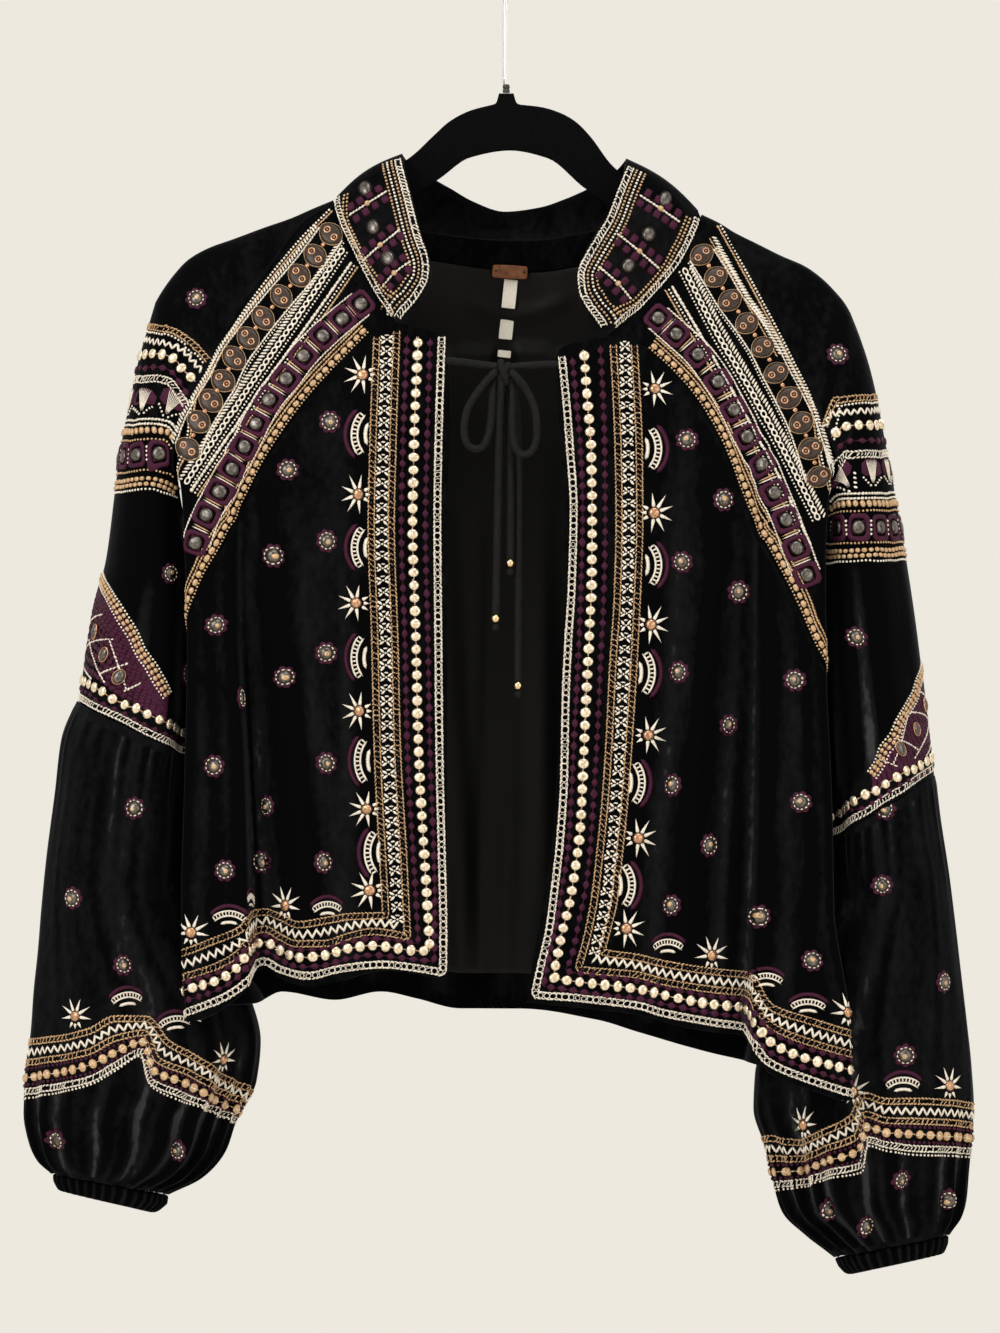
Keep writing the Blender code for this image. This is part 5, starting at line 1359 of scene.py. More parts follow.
satin = new_surface("black_lining_satin", (0.010, 0.010, 0.011), 0.42, Specular_IOR_Level=0.13,
                    Sheen_Weight=0.01)
ramp(satin, "Base Color", grain(satin, 24, 4, (1, 1, 0.3)), (0.35, (0.0012, 0.0012, 0.0014)),
     (0.7, (0.0028, 0.0028, 0.0031)))
raised(satin, grain(satin, 0.5, 2, (1, 1, 0.12)), 0.02)

BACK_ROWS = (12, 108, 8)
back_cloth = back_grid(BACK_ROWS, 76)
back = cloth("velvet_back", back_cloth, VELVET, black_velvet, outside=1)
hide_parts("back")

# Facing and lining lie inside the back, by the halves of both walls and a small gap.
inward = -normals_of(back_cloth)
inside = np.nonzero(np.abs(back_cloth[0, :, 0]) < FACING_REACH)[0]
facing_grid = (back_cloth - inward * (VELVET / 2 + VELVET / 2 + LAYER_GAP))[
    :BACK_ROWS[0] + 1, inside[0]:inside[-1] + 1]
facing = cloth("velvet_neck_facing", facing_grid, VELVET, black_velvet,
               outside=-1)
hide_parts("neck_facing")

inside = np.nonzero(np.abs(back_cloth[70, :, 0]) < LINING_REACH)[0]
loose = lining_folds(back_cloth[..., 0], -back_cloth[..., 2])
loose[:BACK_ROWS[0] + 3] *= np.linspace(0, 1, BACK_ROWS[0] + 3)[:, None] ** 2
lining_grid = (back_cloth - inward * (VELVET / 2 + SATIN / 2 + LAYER_GAP + loose)[..., None])[
    BACK_ROWS[0]:-(BACK_ROWS[2] - 1), inside[0]:inside[-1] + 1]
lining_grid[0] += (lining_grid[1] - lining_grid[0]) * 0.2
lining = cloth("satin_lining", lining_grid, SATIN, satin, outside=-1, rim=0.25)
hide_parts("lining")

# ---------------------------------------------------------------------------------------
# Sleeves: an upper sleeve from collar and band down to the elbow, and a full lower sleeve
# gathered on to the elbow seam and again into the cuff.
LEFT["shoulder"] = [(120.5, 193.4), (135, 199.4), (150, 206), (170, 213), (190, 220.5),
                    (208, 227), (222, 235), (232, 245.5), (240, 256.5), (246.5, 267.5)]
RIGHT["shoulder"] = [(138, 203.4), (150.4, 209.4), (161, 216), (177, 224), (194, 232.5),
                     (210, 239.5), (222, 248), (232, 258), (238.5, 266), (243.5, 275)]
# Sleeve sections as rows: outer reach and drop, inner reach and drop, half depth, centre
# behind the hanger's plane, and how far round each half runs, in degrees.
LEFT["upper_sleeve"] = [
    (251, 285, 226.4, 352, 40, 0, 92), (257, 306, 232, 374, 40, 1, 100),
    (263, 334, 230.5, 396, 42, 2, 130), (270, 370, 226.5, 420, 46, 4, 165),
    (274, 401, 223.5, 446, 48, 5, 179.7), (280, 446, 222, 484, 49, 6, 179.7),
    (289, 480, 221.8, 520, 50, 7, 179.7), (299, 544.6, 223.5, 583.6, 50, 8, 179.7)]
LEFT["lower_sleeve"] = [
    (300.4, 545.2, 223.5, 584.2, 50, 8, 179.7), (311, 572, 224.5, 608, 52, 9, 179.7),
    (316, 610, 226, 640, 53, 10, 179.7), (322, 655, 227, 672, 54, 11, 179.7),
    (325.5, 690, 219, 692, 54, 12, 179.7), (328, 721, 203, 720, 54, 12, 179.7),
    (331, 750, 181, 752, 54, 12, 179.7), (333, 780, 173, 784, 53, 12, 179.7),
    (336, 810, 176, 812, 51, 12, 179.7), (336, 834, 190, 838, 46, 12, 179.7),
    (332, 855, 199, 862, 38, 12, 179.7), (326, 868, 215, 880, 28, 12, 179.7),
    (318, 876.6, 238, 891.6, 17, 12, 179.7)]
RIGHT["upper_sleeve"] = [
    (248, 287, 224, 357, 39, 0, 92), (255, 308, 233, 381, 39, 1, 100),
    (260, 328, 229, 403, 42, 2, 130), (265, 354, 226, 428, 46, 4, 165),
    (271, 385, 223.8, 460, 48, 5, 179.7), (278, 425, 223.8, 505, 49, 6, 179.7),
    (287, 482, 225, 560, 50, 7, 179.7), (301, 596.6, 228.5, 642.6, 50, 8, 179.7)]
RIGHT["lower_sleeve"] = [
    (301.6, 597.3, 228.5, 643.3, 50, 8, 179.7), (305, 625, 229, 665, 52, 9, 179.7),
    (311, 662, 229.5, 688, 53, 10, 179.7), (316, 700, 216, 712, 54, 11, 179.7),
    (320.5, 738, 200, 745, 52, 12, 179.7), (324.5, 772, 185, 780, 49, 12, 179.7),
    (327.5, 800, 177, 808, 49, 12, 179.7), (329, 826, 176, 832, 50, 12, 179.7),
    (327, 850, 184, 858, 51, 12, 179.7), (324, 875, 190, 882, 46, 12, 179.7),
    (321.5, 896, 197, 904, 38, 12, 179.7), (318, 908, 213, 920, 28, 12, 179.7),
    (311, 920, 233, 935.8, 17, 12, 179.7)]
# Folds of a lower sleeve: degrees round from the outer edge (front is positive) at the elbow
# and the hem band, width in degrees, rise at the elbow, the hem band and the cuff.
LEFT["sleeve_folds"] = [(26, 28, 16, 2, 3, 1), (56, 66, 18, 5, 6, 2), (92, 96, 14, -3, -5, -2),
                        (122, 122, 16, 4, 6, 2), (146, 150, 12, -5, -8, -2),
                        (-40, -44, 18, 3, 5, 2), (-84, -80, 16, -3, -5, -2),
                        (-120, -118, 20, 4, 6, 2)]
RIGHT["sleeve_folds"] = [(30, 34, 16, 2, 3, 1), (72, 62, 16, 4, 5, 2), (100, 96, 14, -2, -3, -1),
                         (116, 112, 12, 4, 6, 2), (140, 136, 12, -6, -9, -3),
                         (-36, -40, 18, 3, 5, 2), (-80, -76, 16, -3, -5, -2),
                         (-116, -114, 20, 4, 6, 2)]
# Narrow creases of the whole sleeve: degrees at the top and the foot, width, rise, and the
# shares of the lower sleeve's length between which they run.
LEFT["sleeve_creases"] = [(14, 18, 5, 1.2, 0, 0.9), (44, 40, 5, 1.4, 0.02, 0.6),
                          (74, 84, 5, 1.8, 0.05, 1.0), (106, 108, 5, 2.0, 0.1, 1.0),
                          (134, 132, 4, -2.6, 0.3, 1.0), (160, 164, 6, 1.6, 0, 1.0),
                          (-22, -24, 6, 1.3, 0, 0.9), (-62, -58, 6, 1.6, 0.1, 1.0),
                          (-100, -104, 5, 1.8, 0, 1.0), (-148, -150, 6, 1.5, 0.1, 1.0)]
RIGHT["sleeve_creases"] = [(16, 14, 5, 1.2, 0, 0.9), (50, 46, 5, 1.6, 0.02, 1.0),
                           (84, 80, 4, 1.6, 0.05, 0.9), (96, 92, 5, -1.8, 0.2, 1.0),
                           (126, 124, 4, -2.4, 0.2, 1.0), (156, 160, 6, 1.4, 0, 1.0),
                           (-20, -26, 6, 1.3, 0, 0.9), (-56, -60, 6, 1.6, 0.1, 1.0),
                           (-98, -96, 5, 1.8, 0, 1.0), (-144, -148, 6, 1.5, 0.1, 1.0)]
GATHERS = 18
GATHER_RISE = 4.6
BELOW_BAND = 84
# Rows and columns of each part's grid, how much its painted sheen lightens ridges, and its
# painted level where flat, lighter than on the fronts.
SLEEVE_PARTS = {"upper": (110, 81, 0.3, 0.57), "lower": (120, 221, 0.17, 0.61)}


def upper_sleeve_table(side):
    """Fine sections of an upper sleeve: along the band's seam, then down to the elbow."""
    _, seam = band_seams(side)
    seam = seam[seam[:, 0] < 221]
    outer = evenly(side["shoulder"], len(seam) + 1)[:-1]
    front = -front_surface(side, seam[:, 0], seam[:, 1])[:, 1]
    back = back_depth(side["sign"] * seam[:, 0], seam[:, 1])
    level = np.full(len(seam), 90.0)
    rows = np.stack([outer[:, 0], outer[:, 1], seam[:, 0], seam[:, 1], (front + back) / 2,
                     (back - front) / 2, level], 1)
    lower = np.concatenate([rows[-1:], np.array(side["upper_sleeve"], float)])
    fine = np.stack(read_rows(lower, np.linspace(0, len(lower) - 1, BELOW_BAND)), 1)
    return np.concatenate([rows, fine[1:]])


def lower_sleeve_table(side):
    """Fine sections of a lower sleeve, read evenly from its table."""
    table = side["lower_sleeve"]
    return np.stack(read_rows(table, np.linspace(0, len(table) - 1, 160)), 1)


def lower_relief(side, degrees, v):
    """Rise of a lower sleeve: its long folds, creases, and gathers at both ends."""
    degrees, v = np.broadcast_arrays(degrees, v)
    rise = np.zeros(degrees.shape)
    for top, low, width, rise_top, rise_low, rise_cuff in side["sleeve_folds"]:
        middle = top + (low - top) * v + 4 * np.sin(v * 5 + top)
        height = along([(0, rise_top), (0.6, rise_low), (1, rise_cuff)], v)
        rise = rise + height * np.exp(-((degrees - middle) / width) ** 2)
    for top, low, width, height, start, stop in side["sleeve_creases"]:
        middle = top + (low - top) * v + 3 * np.sin(v * 9 + low)
        fade = smooth_step(v, start, start + 0.15) * (1 - 0.6 * smooth_step(v, stop - 0.2, stop))
        rise = rise + height * fade * np.exp(-((degrees - middle) / width) ** 2)
    near_cuff = smooth_step(v, 0.5, 0.9) * (1 - 0.4 * smooth_step(v, 0.92, 1.0))
    uneven = 1 + 0.4 * np.sin(np.radians(degrees) * 3 + 1)
    around = np.radians(degrees)
    gathers = np.cos(around * GATHERS + 1.4 * np.sin(around * 2 + 1)
                     + 0.9 * np.sin(v * 6 + around * 3))
    fine = np.cos(around * 27 + 1.8 * np.sin(around * 4) + 3 * v)
    rise = rise + near_cuff * (GATHER_RISE * gathers * uneven + 1.3 * fine)
    pucker = smooth_step(v, 0, 0.02) * (1 - smooth_step(v, 0.03, 0.22 + 0.1 * np.sin(around * 5)))
    return rise + pucker * (0.8 * np.cos(around * 21 + 2.4 * np.sin(around * 3))
                            + 0.4 * np.cos(around * 34 + 3 * np.sin(around * 3)))


def sleeve_point(side, part, v, turn):
    """Point of a sleeve part, v from its top to its foot, turn -1 to 1 round from the outer
    edge (front is positive): a section is a line in the front view, bowed to half ellipses.
    """
    table = SLEEVE_TABLES[side["sign"], part]
    at = np.clip(v, 0, 1) * (len(table) - 1)
    stops = np.arange(len(table))
    out_reach, out_drop, in_reach, in_drop, half, centre, end = [
        np.interp(at, stops, c) for c in table.T]
    angle = np.radians(end) * turn
    share = (1 - np.cos(angle)) / (1 - np.cos(np.radians(end)))
    reach = out_reach + (in_reach - out_reach) * share
    drop = out_drop + (in_drop - out_drop) * share
    depth = half * np.sin(angle) - centre
    degrees = np.degrees(angle)
    if part == "lower":
        rise = lower_relief(side, degrees, v)
        whole = rise
    else:
        reach = reach - 2.2 * smooth_step(-turn, 0.93, 1.0) * (1 - smooth_step(v, 0.45, 0.55))
        rise = lower_relief(side, degrees, 0 * v) * smooth_step(v, 0.72, 1.0)
        whole = rise + 0.7 * smooth_step(v, 0.5, 0.7) * np.sin(degrees / 9 + 7 * v) * np.sin(
            np.clip(np.abs(turn), 0, 1) * math.pi)
    depth = depth + whole * np.sin(angle)
    reach = reach + rise * np.cos(angle) * 0.5
    return np.stack([side["sign"] * reach, -depth, -drop], -1)


SLEEVE_TABLES = {}
for side, name in SIDES:
    SLEEVE_TABLES[side["sign"], "upper"] = upper_sleeve_table(side)
    SLEEVE_TABLES[side["sign"], "lower"] = lower_sleeve_table(side)
    for part, (rows, columns, lit, flat_sheen) in SLEEVE_PARTS.items():
        v = np.linspace(0, 1, rows)[:, None]
        if part == "upper":
            whole = len(SLEEVE_TABLES[side["sign"], part]) - 1
            seam_rows = whole + 1 - BELOW_BAND
            v = np.concatenate([np.arange(seam_rows),
                                np.linspace(seam_rows, whole, rows - seam_rows)])[:, None] / whole
        grid = sleeve_point(side, part, v, np.linspace(1, -1, columns)[None])
        piece = cloth("velvet_sleeve_%s_%s" % (part, name), grid, VELVET, black_velvet,
                      outside=-side["sign"], lit=lit, flat_sheen=flat_sheen)
        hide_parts("sleeve_%s_%s" % (part, name))

# ---------------------------------------------------------------------------------------
# Embroidery of the sleeves: rows of discs, fans and framed discs round the upper arm, a
# pointed field over the elbow, and a band above the gathers with stars and crescents on it.
LEFT["arm_rows"] = {"border": [(248.5, 281.9), (229.8, 286.8), (209.3, 303.9)], "zigzag": [(252.7,
    291.3), (233.1, 295.5), (213.5, 310.9)], "coins": [(254.9, 302.5), (245.8, 301.1), (237.7,
    302.5), (232.2, 304.6), (226.1, 312.3), (218.5, 318.6)], "diamonds": [(258.3, 312.3), (245,
    310.9), (234.5, 313), (226.3, 324.2), (221.9, 327.7)], "lines": [(260.4, 320), (245, 318.6),
    (234.5, 321.4), (227.5, 331.2), (224, 334.7)], "fans": [(263.9, 335.4), (245, 334), (233.1,
    336.8), (225.4, 344.5)], "double": [(266, 350.1), (247.1, 348.7), (234.5, 351.5), (226.8,
    359.2)], "beads": [(267.4, 356.4), (247.1, 355), (234.5, 357.1), (227.5, 364.8)], "dots":
    [(268.1, 362.7), (247.1, 361.3), (233.8, 364.1), (228.9, 369.7)], "squares": [(270.9, 374.6),
    (246.4, 371.1), (233.1, 373.2), (228.9, 378.1)], "dots_low": [(271.6, 385.8), (248.5, 383),
    (234.5, 385.8)], "beads_low": [(273, 393.5), (248.5, 390.7), (235.9, 394.2)], "edge": [(273.7,
    399.1), (248.5, 396.3), (236.6, 399.8)]}
RIGHT["arm_rows"] = {"border": [(260.4, 331.7), (243, 333), (230, 334.7)], "zigzag": [(262.5,
    341), (233.1, 343.1), (221.9, 348)], "coins": [(264.6, 350.8), (255.5, 351.3), (242.9, 351.8),
    (233.1, 354.1), (226.1, 357.8)], "diamonds": [(266.7, 362), (242.9, 362.7), (227.5, 366.9)],
    "lines": [(268.8, 371.1), (242.9, 372.5), (227.5, 376.7)], "fans": [(270.9, 384.4), (241.5,
    385.8), (227.5, 390)], "double": [(273.7, 400.5), (241.5, 401.2), (226.8, 404)], "beads":
    [(275.1, 406.1), (241.5, 406.4), (226.1, 408.9)], "dots": [(275.8, 411.3), (241.5, 411.7),
    (226.1, 413.8)], "squares": [(277.9, 423.2), (248.5, 422.9), (230.7, 423.2), (225.4, 424.3)],
    "dots_low": [(280, 433.4), (241.5, 434.1), (224.7, 434.8)], "beads_low": [(280.7, 440.4),
    (241.5, 441.1), (225.4, 441.8)], "edge": [(282.1, 446), (241.5, 446.7), (225.4, 447.4)]}
LEFT["elbow"] = {"gold": [(284.5, 457), (264, 493), (237, 541)], "coins": [(298.2,
    529.3), (283.5, 537.7), (260, 549.6), (233.1, 563.3)], "dots": [(298.9, 535.6), (283.5,
    544.7), (260, 557.3), (232.4, 571.3)], "border": [(299.6, 541.9), (283.5, 551), (260.4,
    564.3), (231.7, 580.4)], "ovals": [(286.3, 496.1), (280.4, 512.5), (270.2, 527.9)], "net":
    [[(292.6, 492.9), (280.7, 483.8)], [(294.7, 509.7), (273, 501.3)], [(282.8, 525.1), (263.9,
    517.4)], [(268.1, 538.4), (254.1, 531.4)], [(291.2, 502), (279.3, 531.4)], [(296.1, 518.8),
    (289.1, 530)], [(276.5, 502), (265.3, 537)]]}
RIGHT["elbow"] = {"gold": [(294, 521), (277, 559), (257, 598)], "coins": [(299.6, 583.2),
    (280, 595.1), (265.7, 603.1), (247.1, 614)], "dots": [(300.3, 589.5), (280, 602.1), (265.3,
    610.5), (245.7, 621.7)], "border": [(301, 594), (280, 607.7), (262.5, 619.6), (235.9, 637.8)],
    "ovals": [(294, 548.2), (286.7, 563.6), (276.5, 579)], "net": [[(300.3, 545.4), (286.3, 537)],
    [(301, 562.2), (277.9, 553.1)], [(289.1, 579), (270.9, 570.6)], [(275.1, 591.6), (262.5,
    585.3)], [(297.5, 555.2), (285.6, 583.9)], [(300.3, 572), (294.7, 583.9)], [(282.1, 555.2),
    (272.3, 589.5)]]}
LEFT["hem_band"] = [[(334.6, 782.7), (336, 825.4)], [(310.1, 778.5), (310.1, 818.4)], [(280.7,
    770.8), (280.7, 810.7)], [(266, 762.4), (268.8, 798.8)], [(254.1, 763.1), (256.9, 793.2)],
    [(249.2, 768), (251.3, 805.1)], [(244.3, 775.7), (245, 821.2)], [(227.5, 785.5), (228.9,
    823.3)], [(182, 819.8), (193.9, 843.6)]]
RIGHT["hem_band"] = [[(327.6, 828.2), (326.2, 866)], [(293.3, 822.6), (296.1, 862.5)], [(268.8,
    824), (268.8, 861.1)], [(263.2, 815.6), (267.4, 852.7)], [(249.9, 819.8), (254.8, 856.9)],
    [(245, 831.7), (249.2, 874.4)], [(228.9, 840.1), (232.4, 877.9)], [(210, 852.7), (212.1,
    885.6)], [(186.2, 849.9), (191.8, 889.8)]]
LEFT["sleeve_stars"] = [(300.3, 765.2), (198.1, 796)]
RIGHT["sleeve_stars"] = [(243.6, 818.4), (210, 841.5), (311.5, 814.9)]
LEFT["sleeve_crescents"] = [(264.6, 751.2), (231, 768)]
RIGHT["sleeve_crescents"] = [(278.6, 811.4)]
LEFT["sleeve_roundels"] = [(259.7, 619.6), (302.4, 682.6), (267.4, 729.5), (312.9, 853.4), (228.9,
    860.4), (235.2, 455.8), (224.7, 524.4)]
RIGHT["sleeve_roundels"] = [(245.7, 499.9), (241.9, 581.1), (264.3, 673.5), (307.3, 741.4),
    (280.7, 793.2), (227.5, 901.7), (253.1, 912.9), (311.5, 895.4), (277.2, 880)]
LEFT["shoulder_roundel"] = [(216.3, 262.6)]
RIGHT["shoulder_roundel"] = [(233.1, 301.8)]
# Where rows may lie: shares of a sleeve's length, millimetres off the sleeve at which a place
# is left out, turns between which places count, and on an upper sleeve the turn where rows
# end and the most that they climb to get there.
SLEEVE_RUN = (0.004, 0.996)
OFF_SLEEVE = 3
PATH_TURNS = (0.12, 0.92)
UPPER_END, PATH_RATE = 0.97, 0.15
fan = group([set_at(mound(outline_of(12, 6), [(1, -0.2), (0.95, 0.7), (0, 1)], PURPLE),
                    0, 4.0, size=(20.4, 12, 0.5))]
            + [set_at(strip([(0.14, 0), (0.3, 0), (0.8, 0), (1, 0)], 0.03, 0.9, CREAM), 0, -10,
                      math.degrees(math.atan2(20, top)), (math.hypot(20, top), 20, 0.8), 0.5)
               for top in np.linspace(-5.4, 5.4, 8)]
            + [set_at(knot_of(CREAM), way * 2.1 * k, -10.4 + 1.9 * k, 0, (1.7, 1.7, 1.0))
               for way in (-1, 1) for k in range(1, 5)])


def nearest(side, places, net, *measures):
    """Measures of the net's point that the front view shows nearest to each reach and drop."""
    seen = np.stack([side["sign"] * net[..., 0], -net[..., 2]], -1).reshape(-1, 2)
    places = np.array(places, float).reshape(-1, 2)
    near = ((places[:, None] - seen[None]) ** 2).sum(-1).argmin(1)
    return np.stack([measure.ravel()[near] for measure in measures], 1)


def on_sleeve(side, part, places):
    """Turn and v of what the front shows of a sleeve at each reach and drop."""
    turns, levels = np.meshgrid(np.linspace(0.015, 0.985, 220), np.linspace(*SLEEVE_RUN, 420))
    return nearest(side, places, sleeve_point(side, part, levels, turns), turns, levels)


def round_path(side, part, places, whole=True):
    """A path round a sleeve: the front half's places, and the same behind, mirrored. A whole
    path goes on to the inner edge.
    """
    places = np.array(places, float)
    levels = np.linspace(*SLEEVE_RUN, 900)
    ends = []
    for turn, place in ((0.0, places[places[:, 0].argmax()]), (1.0, places[places[:, 0].argmin()])):
        edge = sleeve_point(side, part, levels, np.full(900, turn))
        gap = np.hypot(side["sign"] * edge[:, 0] - place[0], -edge[:, 2] - place[1])
        ends.append((turn, levels[gap.argmin()]))
    wanted = evenly(places, max(9, len(places)))
    front = on_sleeve(side, part, wanted)
    seen = sleeve_point(side, part, front[:, 1], front[:, 0])
    off = np.hypot(side["sign"] * seen[:, 0] - wanted[:, 0], -seen[:, 2] - wanted[:, 1])
    front = front[off < OFF_SLEEVE]
    front = front[np.argsort(front[:, 0])]
    front = front[(front[:, 0] > PATH_TURNS[0]) & (front[:, 0] < PATH_TURNS[1])]
    if part == "upper" and len(front) > 1:
        rate = (front[-1, 1] - front[-2, 1]) / (front[-1, 0] - front[-2, 0])
        rate = np.clip(rate, -PATH_RATE, PATH_RATE)
        ends[1] = (UPPER_END, front[-1, 1] + rate * (UPPER_END - front[-1, 0]))
    front = np.concatenate([ends[:1], front] + ([ends[1:]] if whole else []))
    return np.concatenate([front[:0:-1] * [-1, 1], front])


def middled(pair):
    """Two places with the one halfway between them."""
    return np.stack([pair[0], pair.mean(0), pair[1]])


def both_sides(places):
    """Places on the front half and the same behind."""
    return np.concatenate([places, places * [-1, 1]])


def on_part(side, part):
    """One part of a sleeve as a panel to sew on."""
    return Panel(lambda turn, v: sleeve_point(side, part, v, turn), 0.004, 0.002, -side["sign"])


LEFT["sleeve_cuts"] = {"upper": (0.30, 0.445, 0.073), "lower": (0.44, 0.35, 0.13)}
RIGHT["sleeve_cuts"] = {"upper": (0.32, 0.485, 0.0845), "lower": (0.42, 0.34, 0.12)}
for side, name in SIDES:
    down = side["sign"]
    panel = on_part(side, "upper")
    rows = {key: round_path(side, "upper", path) for key, path in side["arm_rows"].items()}
    ladder_row(panel, rows["border"], GOLD, 1.8, 3.4)
    knot_row(panel, rows["border"], down * 3.8, CREAM)
    tooth_row(panel, rows["zigzag"], 5.2, 5.4)
    disc_row(panel, rows["coins"], 7.4, 8.8)
    leaf_row(panel, rows["diamonds"])
    ladder_row(panel, rows["lines"], CREAM, 2.2, 2.6)
    sew(panel, fan, lay(panel, rows["fans"], 20), turn=90 + 90 * down, broad=True,
        uneven=0.03)
    for at in (-1.7, 1.7):
        cord_row(panel, rows["double"], at, CREAM, 1.8)
    sew(panel, flat_bead, lay(panel, rows["beads"], 4.6), (4.0, 5.2, 1.4), 20)
    knot_row(panel, rows["dots"], 0, GOLD)
    places, way = lay(panel, rows["squares"], 8.2)
    way = way[np.abs(places[:, 0]) < 0.9]
    places = places[np.abs(places[:, 0]) < 0.9]
    sew(panel, framed_disc, (places[::2], way[::2]), size=(0.94, 0.98, 1), broad=True,
        uneven=0.03)
    places, way = places[1::2], way[1::2]
    by_a, by_b, _, _, beside = frames(panel, places, way)
    for at in (-4.6, -1.6, 1.6, 4.6):
        sew(panel, knot_of(CREAM), (places + carried(by_a, by_b, beside * at), way),
            (2.2, 2.2, 1.2))
    knot_row(panel, rows["dots_low"], 0, GOLD)
    for at in (-1.9, 1.9):
        sew(panel, flat_bead, lay(panel, rows["beads_low"], 4.4, at), (4.0, 3.2, 1.3))
    knot_row(panel, rows["edge"], 0, CREAM)
    sew(panel, roundel, turned_to(on_sleeve(side, "upper", side["shoulder_roundel"]), (1, 0)))
    high_roundels = [place for place in side["sleeve_roundels"] if place[1] < 540]
    sew(panel, roundel, turned_to(both_sides(on_sleeve(side, "upper", high_roundels)), (1, 0)),
        broad=True)

    elbow = side["elbow"]
    peak = round_path(side, "upper", elbow["gold"], whole=False)
    base = round_path(side, "upper", elbow["coins"])
    peak_line = evenly(peak, 41)
    base_line = np.stack([peak_line[:, 0], np.interp(peak_line[:, 0], base[:, 0], base[:, 1])], 1)
    for at in np.linspace(0.06, 0.9, 13):
        row = peak_line + (base_line - peak_line) * at
        cord_row(panel, row[::2], 0, PURPLE, 4.6, 6.0, 30, 0.45)
    for at in (-4.0, 4.0):
        knot_row(panel, peak, at, CREAM, 1.8, 2.6)
    for at in (-1.5, 1.5):
        sew(panel, flat_bead, lay(panel, peak, 4.4, at), (3.8, 3.0, 1.6))
    for pair in elbow["net"]:
        for mirror in (1, -1):
            line = on_sleeve(side, "upper", pair) * [mirror, 1]
            cord_row(panel, middled(line), 0, CREAM, 1.5, 3.4)
    medal = group([set_at(disc(PEWTER, 16), size=(6.4, 9.6, 2.2)),
                   set_at(ring_shape(18, 0.8, COPPER), size=(8.2, 11.4, 1.2))])
    places = both_sides(on_sleeve(side, "upper", elbow["ovals"]))
    sew(panel, medal, turned_to(places, (1, 0)), lift=0.4, broad=True)
    disc_row(panel, base, 7.2, 8.8)
    leaf_row(panel, round_path(side, "upper", elbow["dots"]), long=6.0, wide=4.4)
    ladder_row(panel, round_path(side, "upper", elbow["border"]), CREAM, 1.9, 2.6)
    sewn = embroider("embroidery_sleeve_upper_" + name, panel)
    wide, long, area = side["sleeve_cuts"]["upper"]

    panel = on_part(side, "lower")
    ends = np.array(side["hem_band"], float)
    band = {share: round_path(side, "lower", ends[:, 0] + (ends[:, 1] - ends[:, 0]) * share)
            for share in (0.06, 0.23, 0.41, 0.52, 0.65, 0.78, 0.89, 1.0)}
    ladder_row(panel, band[0.06], GOLD, 1.9, 3.6)
    tooth_row(panel, band[0.23], 6.4, 6.0)
    ladder_row(panel, band[0.41], GOLD, 1.9, 3.6)
    knot_row(panel, band[0.52], 0, PURPLE, 2.8, 3.6)
    disc_row(panel, band[0.65], 6.4, 7.8, thread=GOLD)
    knot_row(panel, band[0.78], 0, PURPLE, 2.8, 3.6)
    ladder_row(panel, band[0.89], CREAM, 1.9, 2.6)
    knot_row(panel, band[1.0], 0, CREAM, 1.8, 2.8)
    low_roundels = [place for place in side["sleeve_roundels"] if place[1] > 560]
    for shape, places, size in ((star, side["sleeve_stars"], 1.0),
                                (crescent, side["sleeve_crescents"], 0.85),
                                (roundel, low_roundels, 1.0)):
        sew(panel, shape, turned_to(both_sides(on_sleeve(side, "lower", places)), (0, -1)),
            size=(size, size, 1), broad=True, uneven=0.05)
    sewn = embroider("embroidery_sleeve_lower_" + name, panel)
    wide, long, area = side["sleeve_cuts"]["lower"]

# ---------------------------------------------------------------------------------------
# Cuffs: narrow velvet bands drawn in over elastic, so that they stand in fine ribs. Each is
# one closed wall with a rounded foot, gathered on to the end of the lower sleeve.
LEFT["cuff"] = [(317.5, 877.6, 238, 892.6), (317, 883, 239, 899), (313.5, 890, 246, 905)]
RIGHT["cuff"] = [(311.5, 921, 233, 936.8), (311, 927, 236, 943), (308, 934.5, 241, 948.5)]
CUFF_RIBS = 34
CUFF_CENTRE = 12.0


def cuff_ribs(around):
    """Uneven ribs round a cuff, from -1 in a hollow to 1 on a rib."""
    return np.cos(around * CUFF_RIBS + 0.9 * np.sin(around * 5))


def cuff_surface(side, around, profile):
    """Cuff: an ellipse in a tilted plane, carried round a closed profile, with uneven ribs.

    The profile runs down the outer side, round the foot and up the inner side.
    """
    top, middle, foot = [np.array(row) for row in side["cuff"]]
    outer_v = np.clip(profile / 0.45, 0, 1)
    inner_v = np.clip((profile - 0.55) / 0.45, 0, 1)
    inside = smooth_step(profile, 0.46, 0.56)
    rounding = np.sqrt(np.clip(1 - (2 * np.abs(outer_v - 0.5)) ** 6, 0, 1))
    row = outer_v[..., None]
    shape = np.where(row < 0.5, top + (middle - top) * row * 2,
                     middle + (foot - middle) * (row - 0.5) * 2)
    back_row = 1 - inner_v[..., None]
    back_shape = top + (foot - top) * back_row
    shape = shape + (back_shape - shape) * inside[..., None]
    half = 14.2 + 1.4 * rounding - 3.6 * inside
    rise = (0.5 + 0.7 * rounding) * cuff_ribs(around) * (1 - inside)
    rise = rise - 1.0 * (1 - rounding) - 3.0 * inside
    radius = (shape[..., 0] - shape[..., 2]) / 2
    share = (1 - np.cos(around)) / 2
    drop = shape[..., 1] + (shape[..., 3] - shape[..., 1]) * share
    x = side["sign"] * ((shape[..., 0] + shape[..., 2]) / 2 + (radius + rise) * np.cos(around))
    y = CUFF_CENTRE - (half + rise) * np.sin(around)
    return np.stack([x, y, -drop], -1)


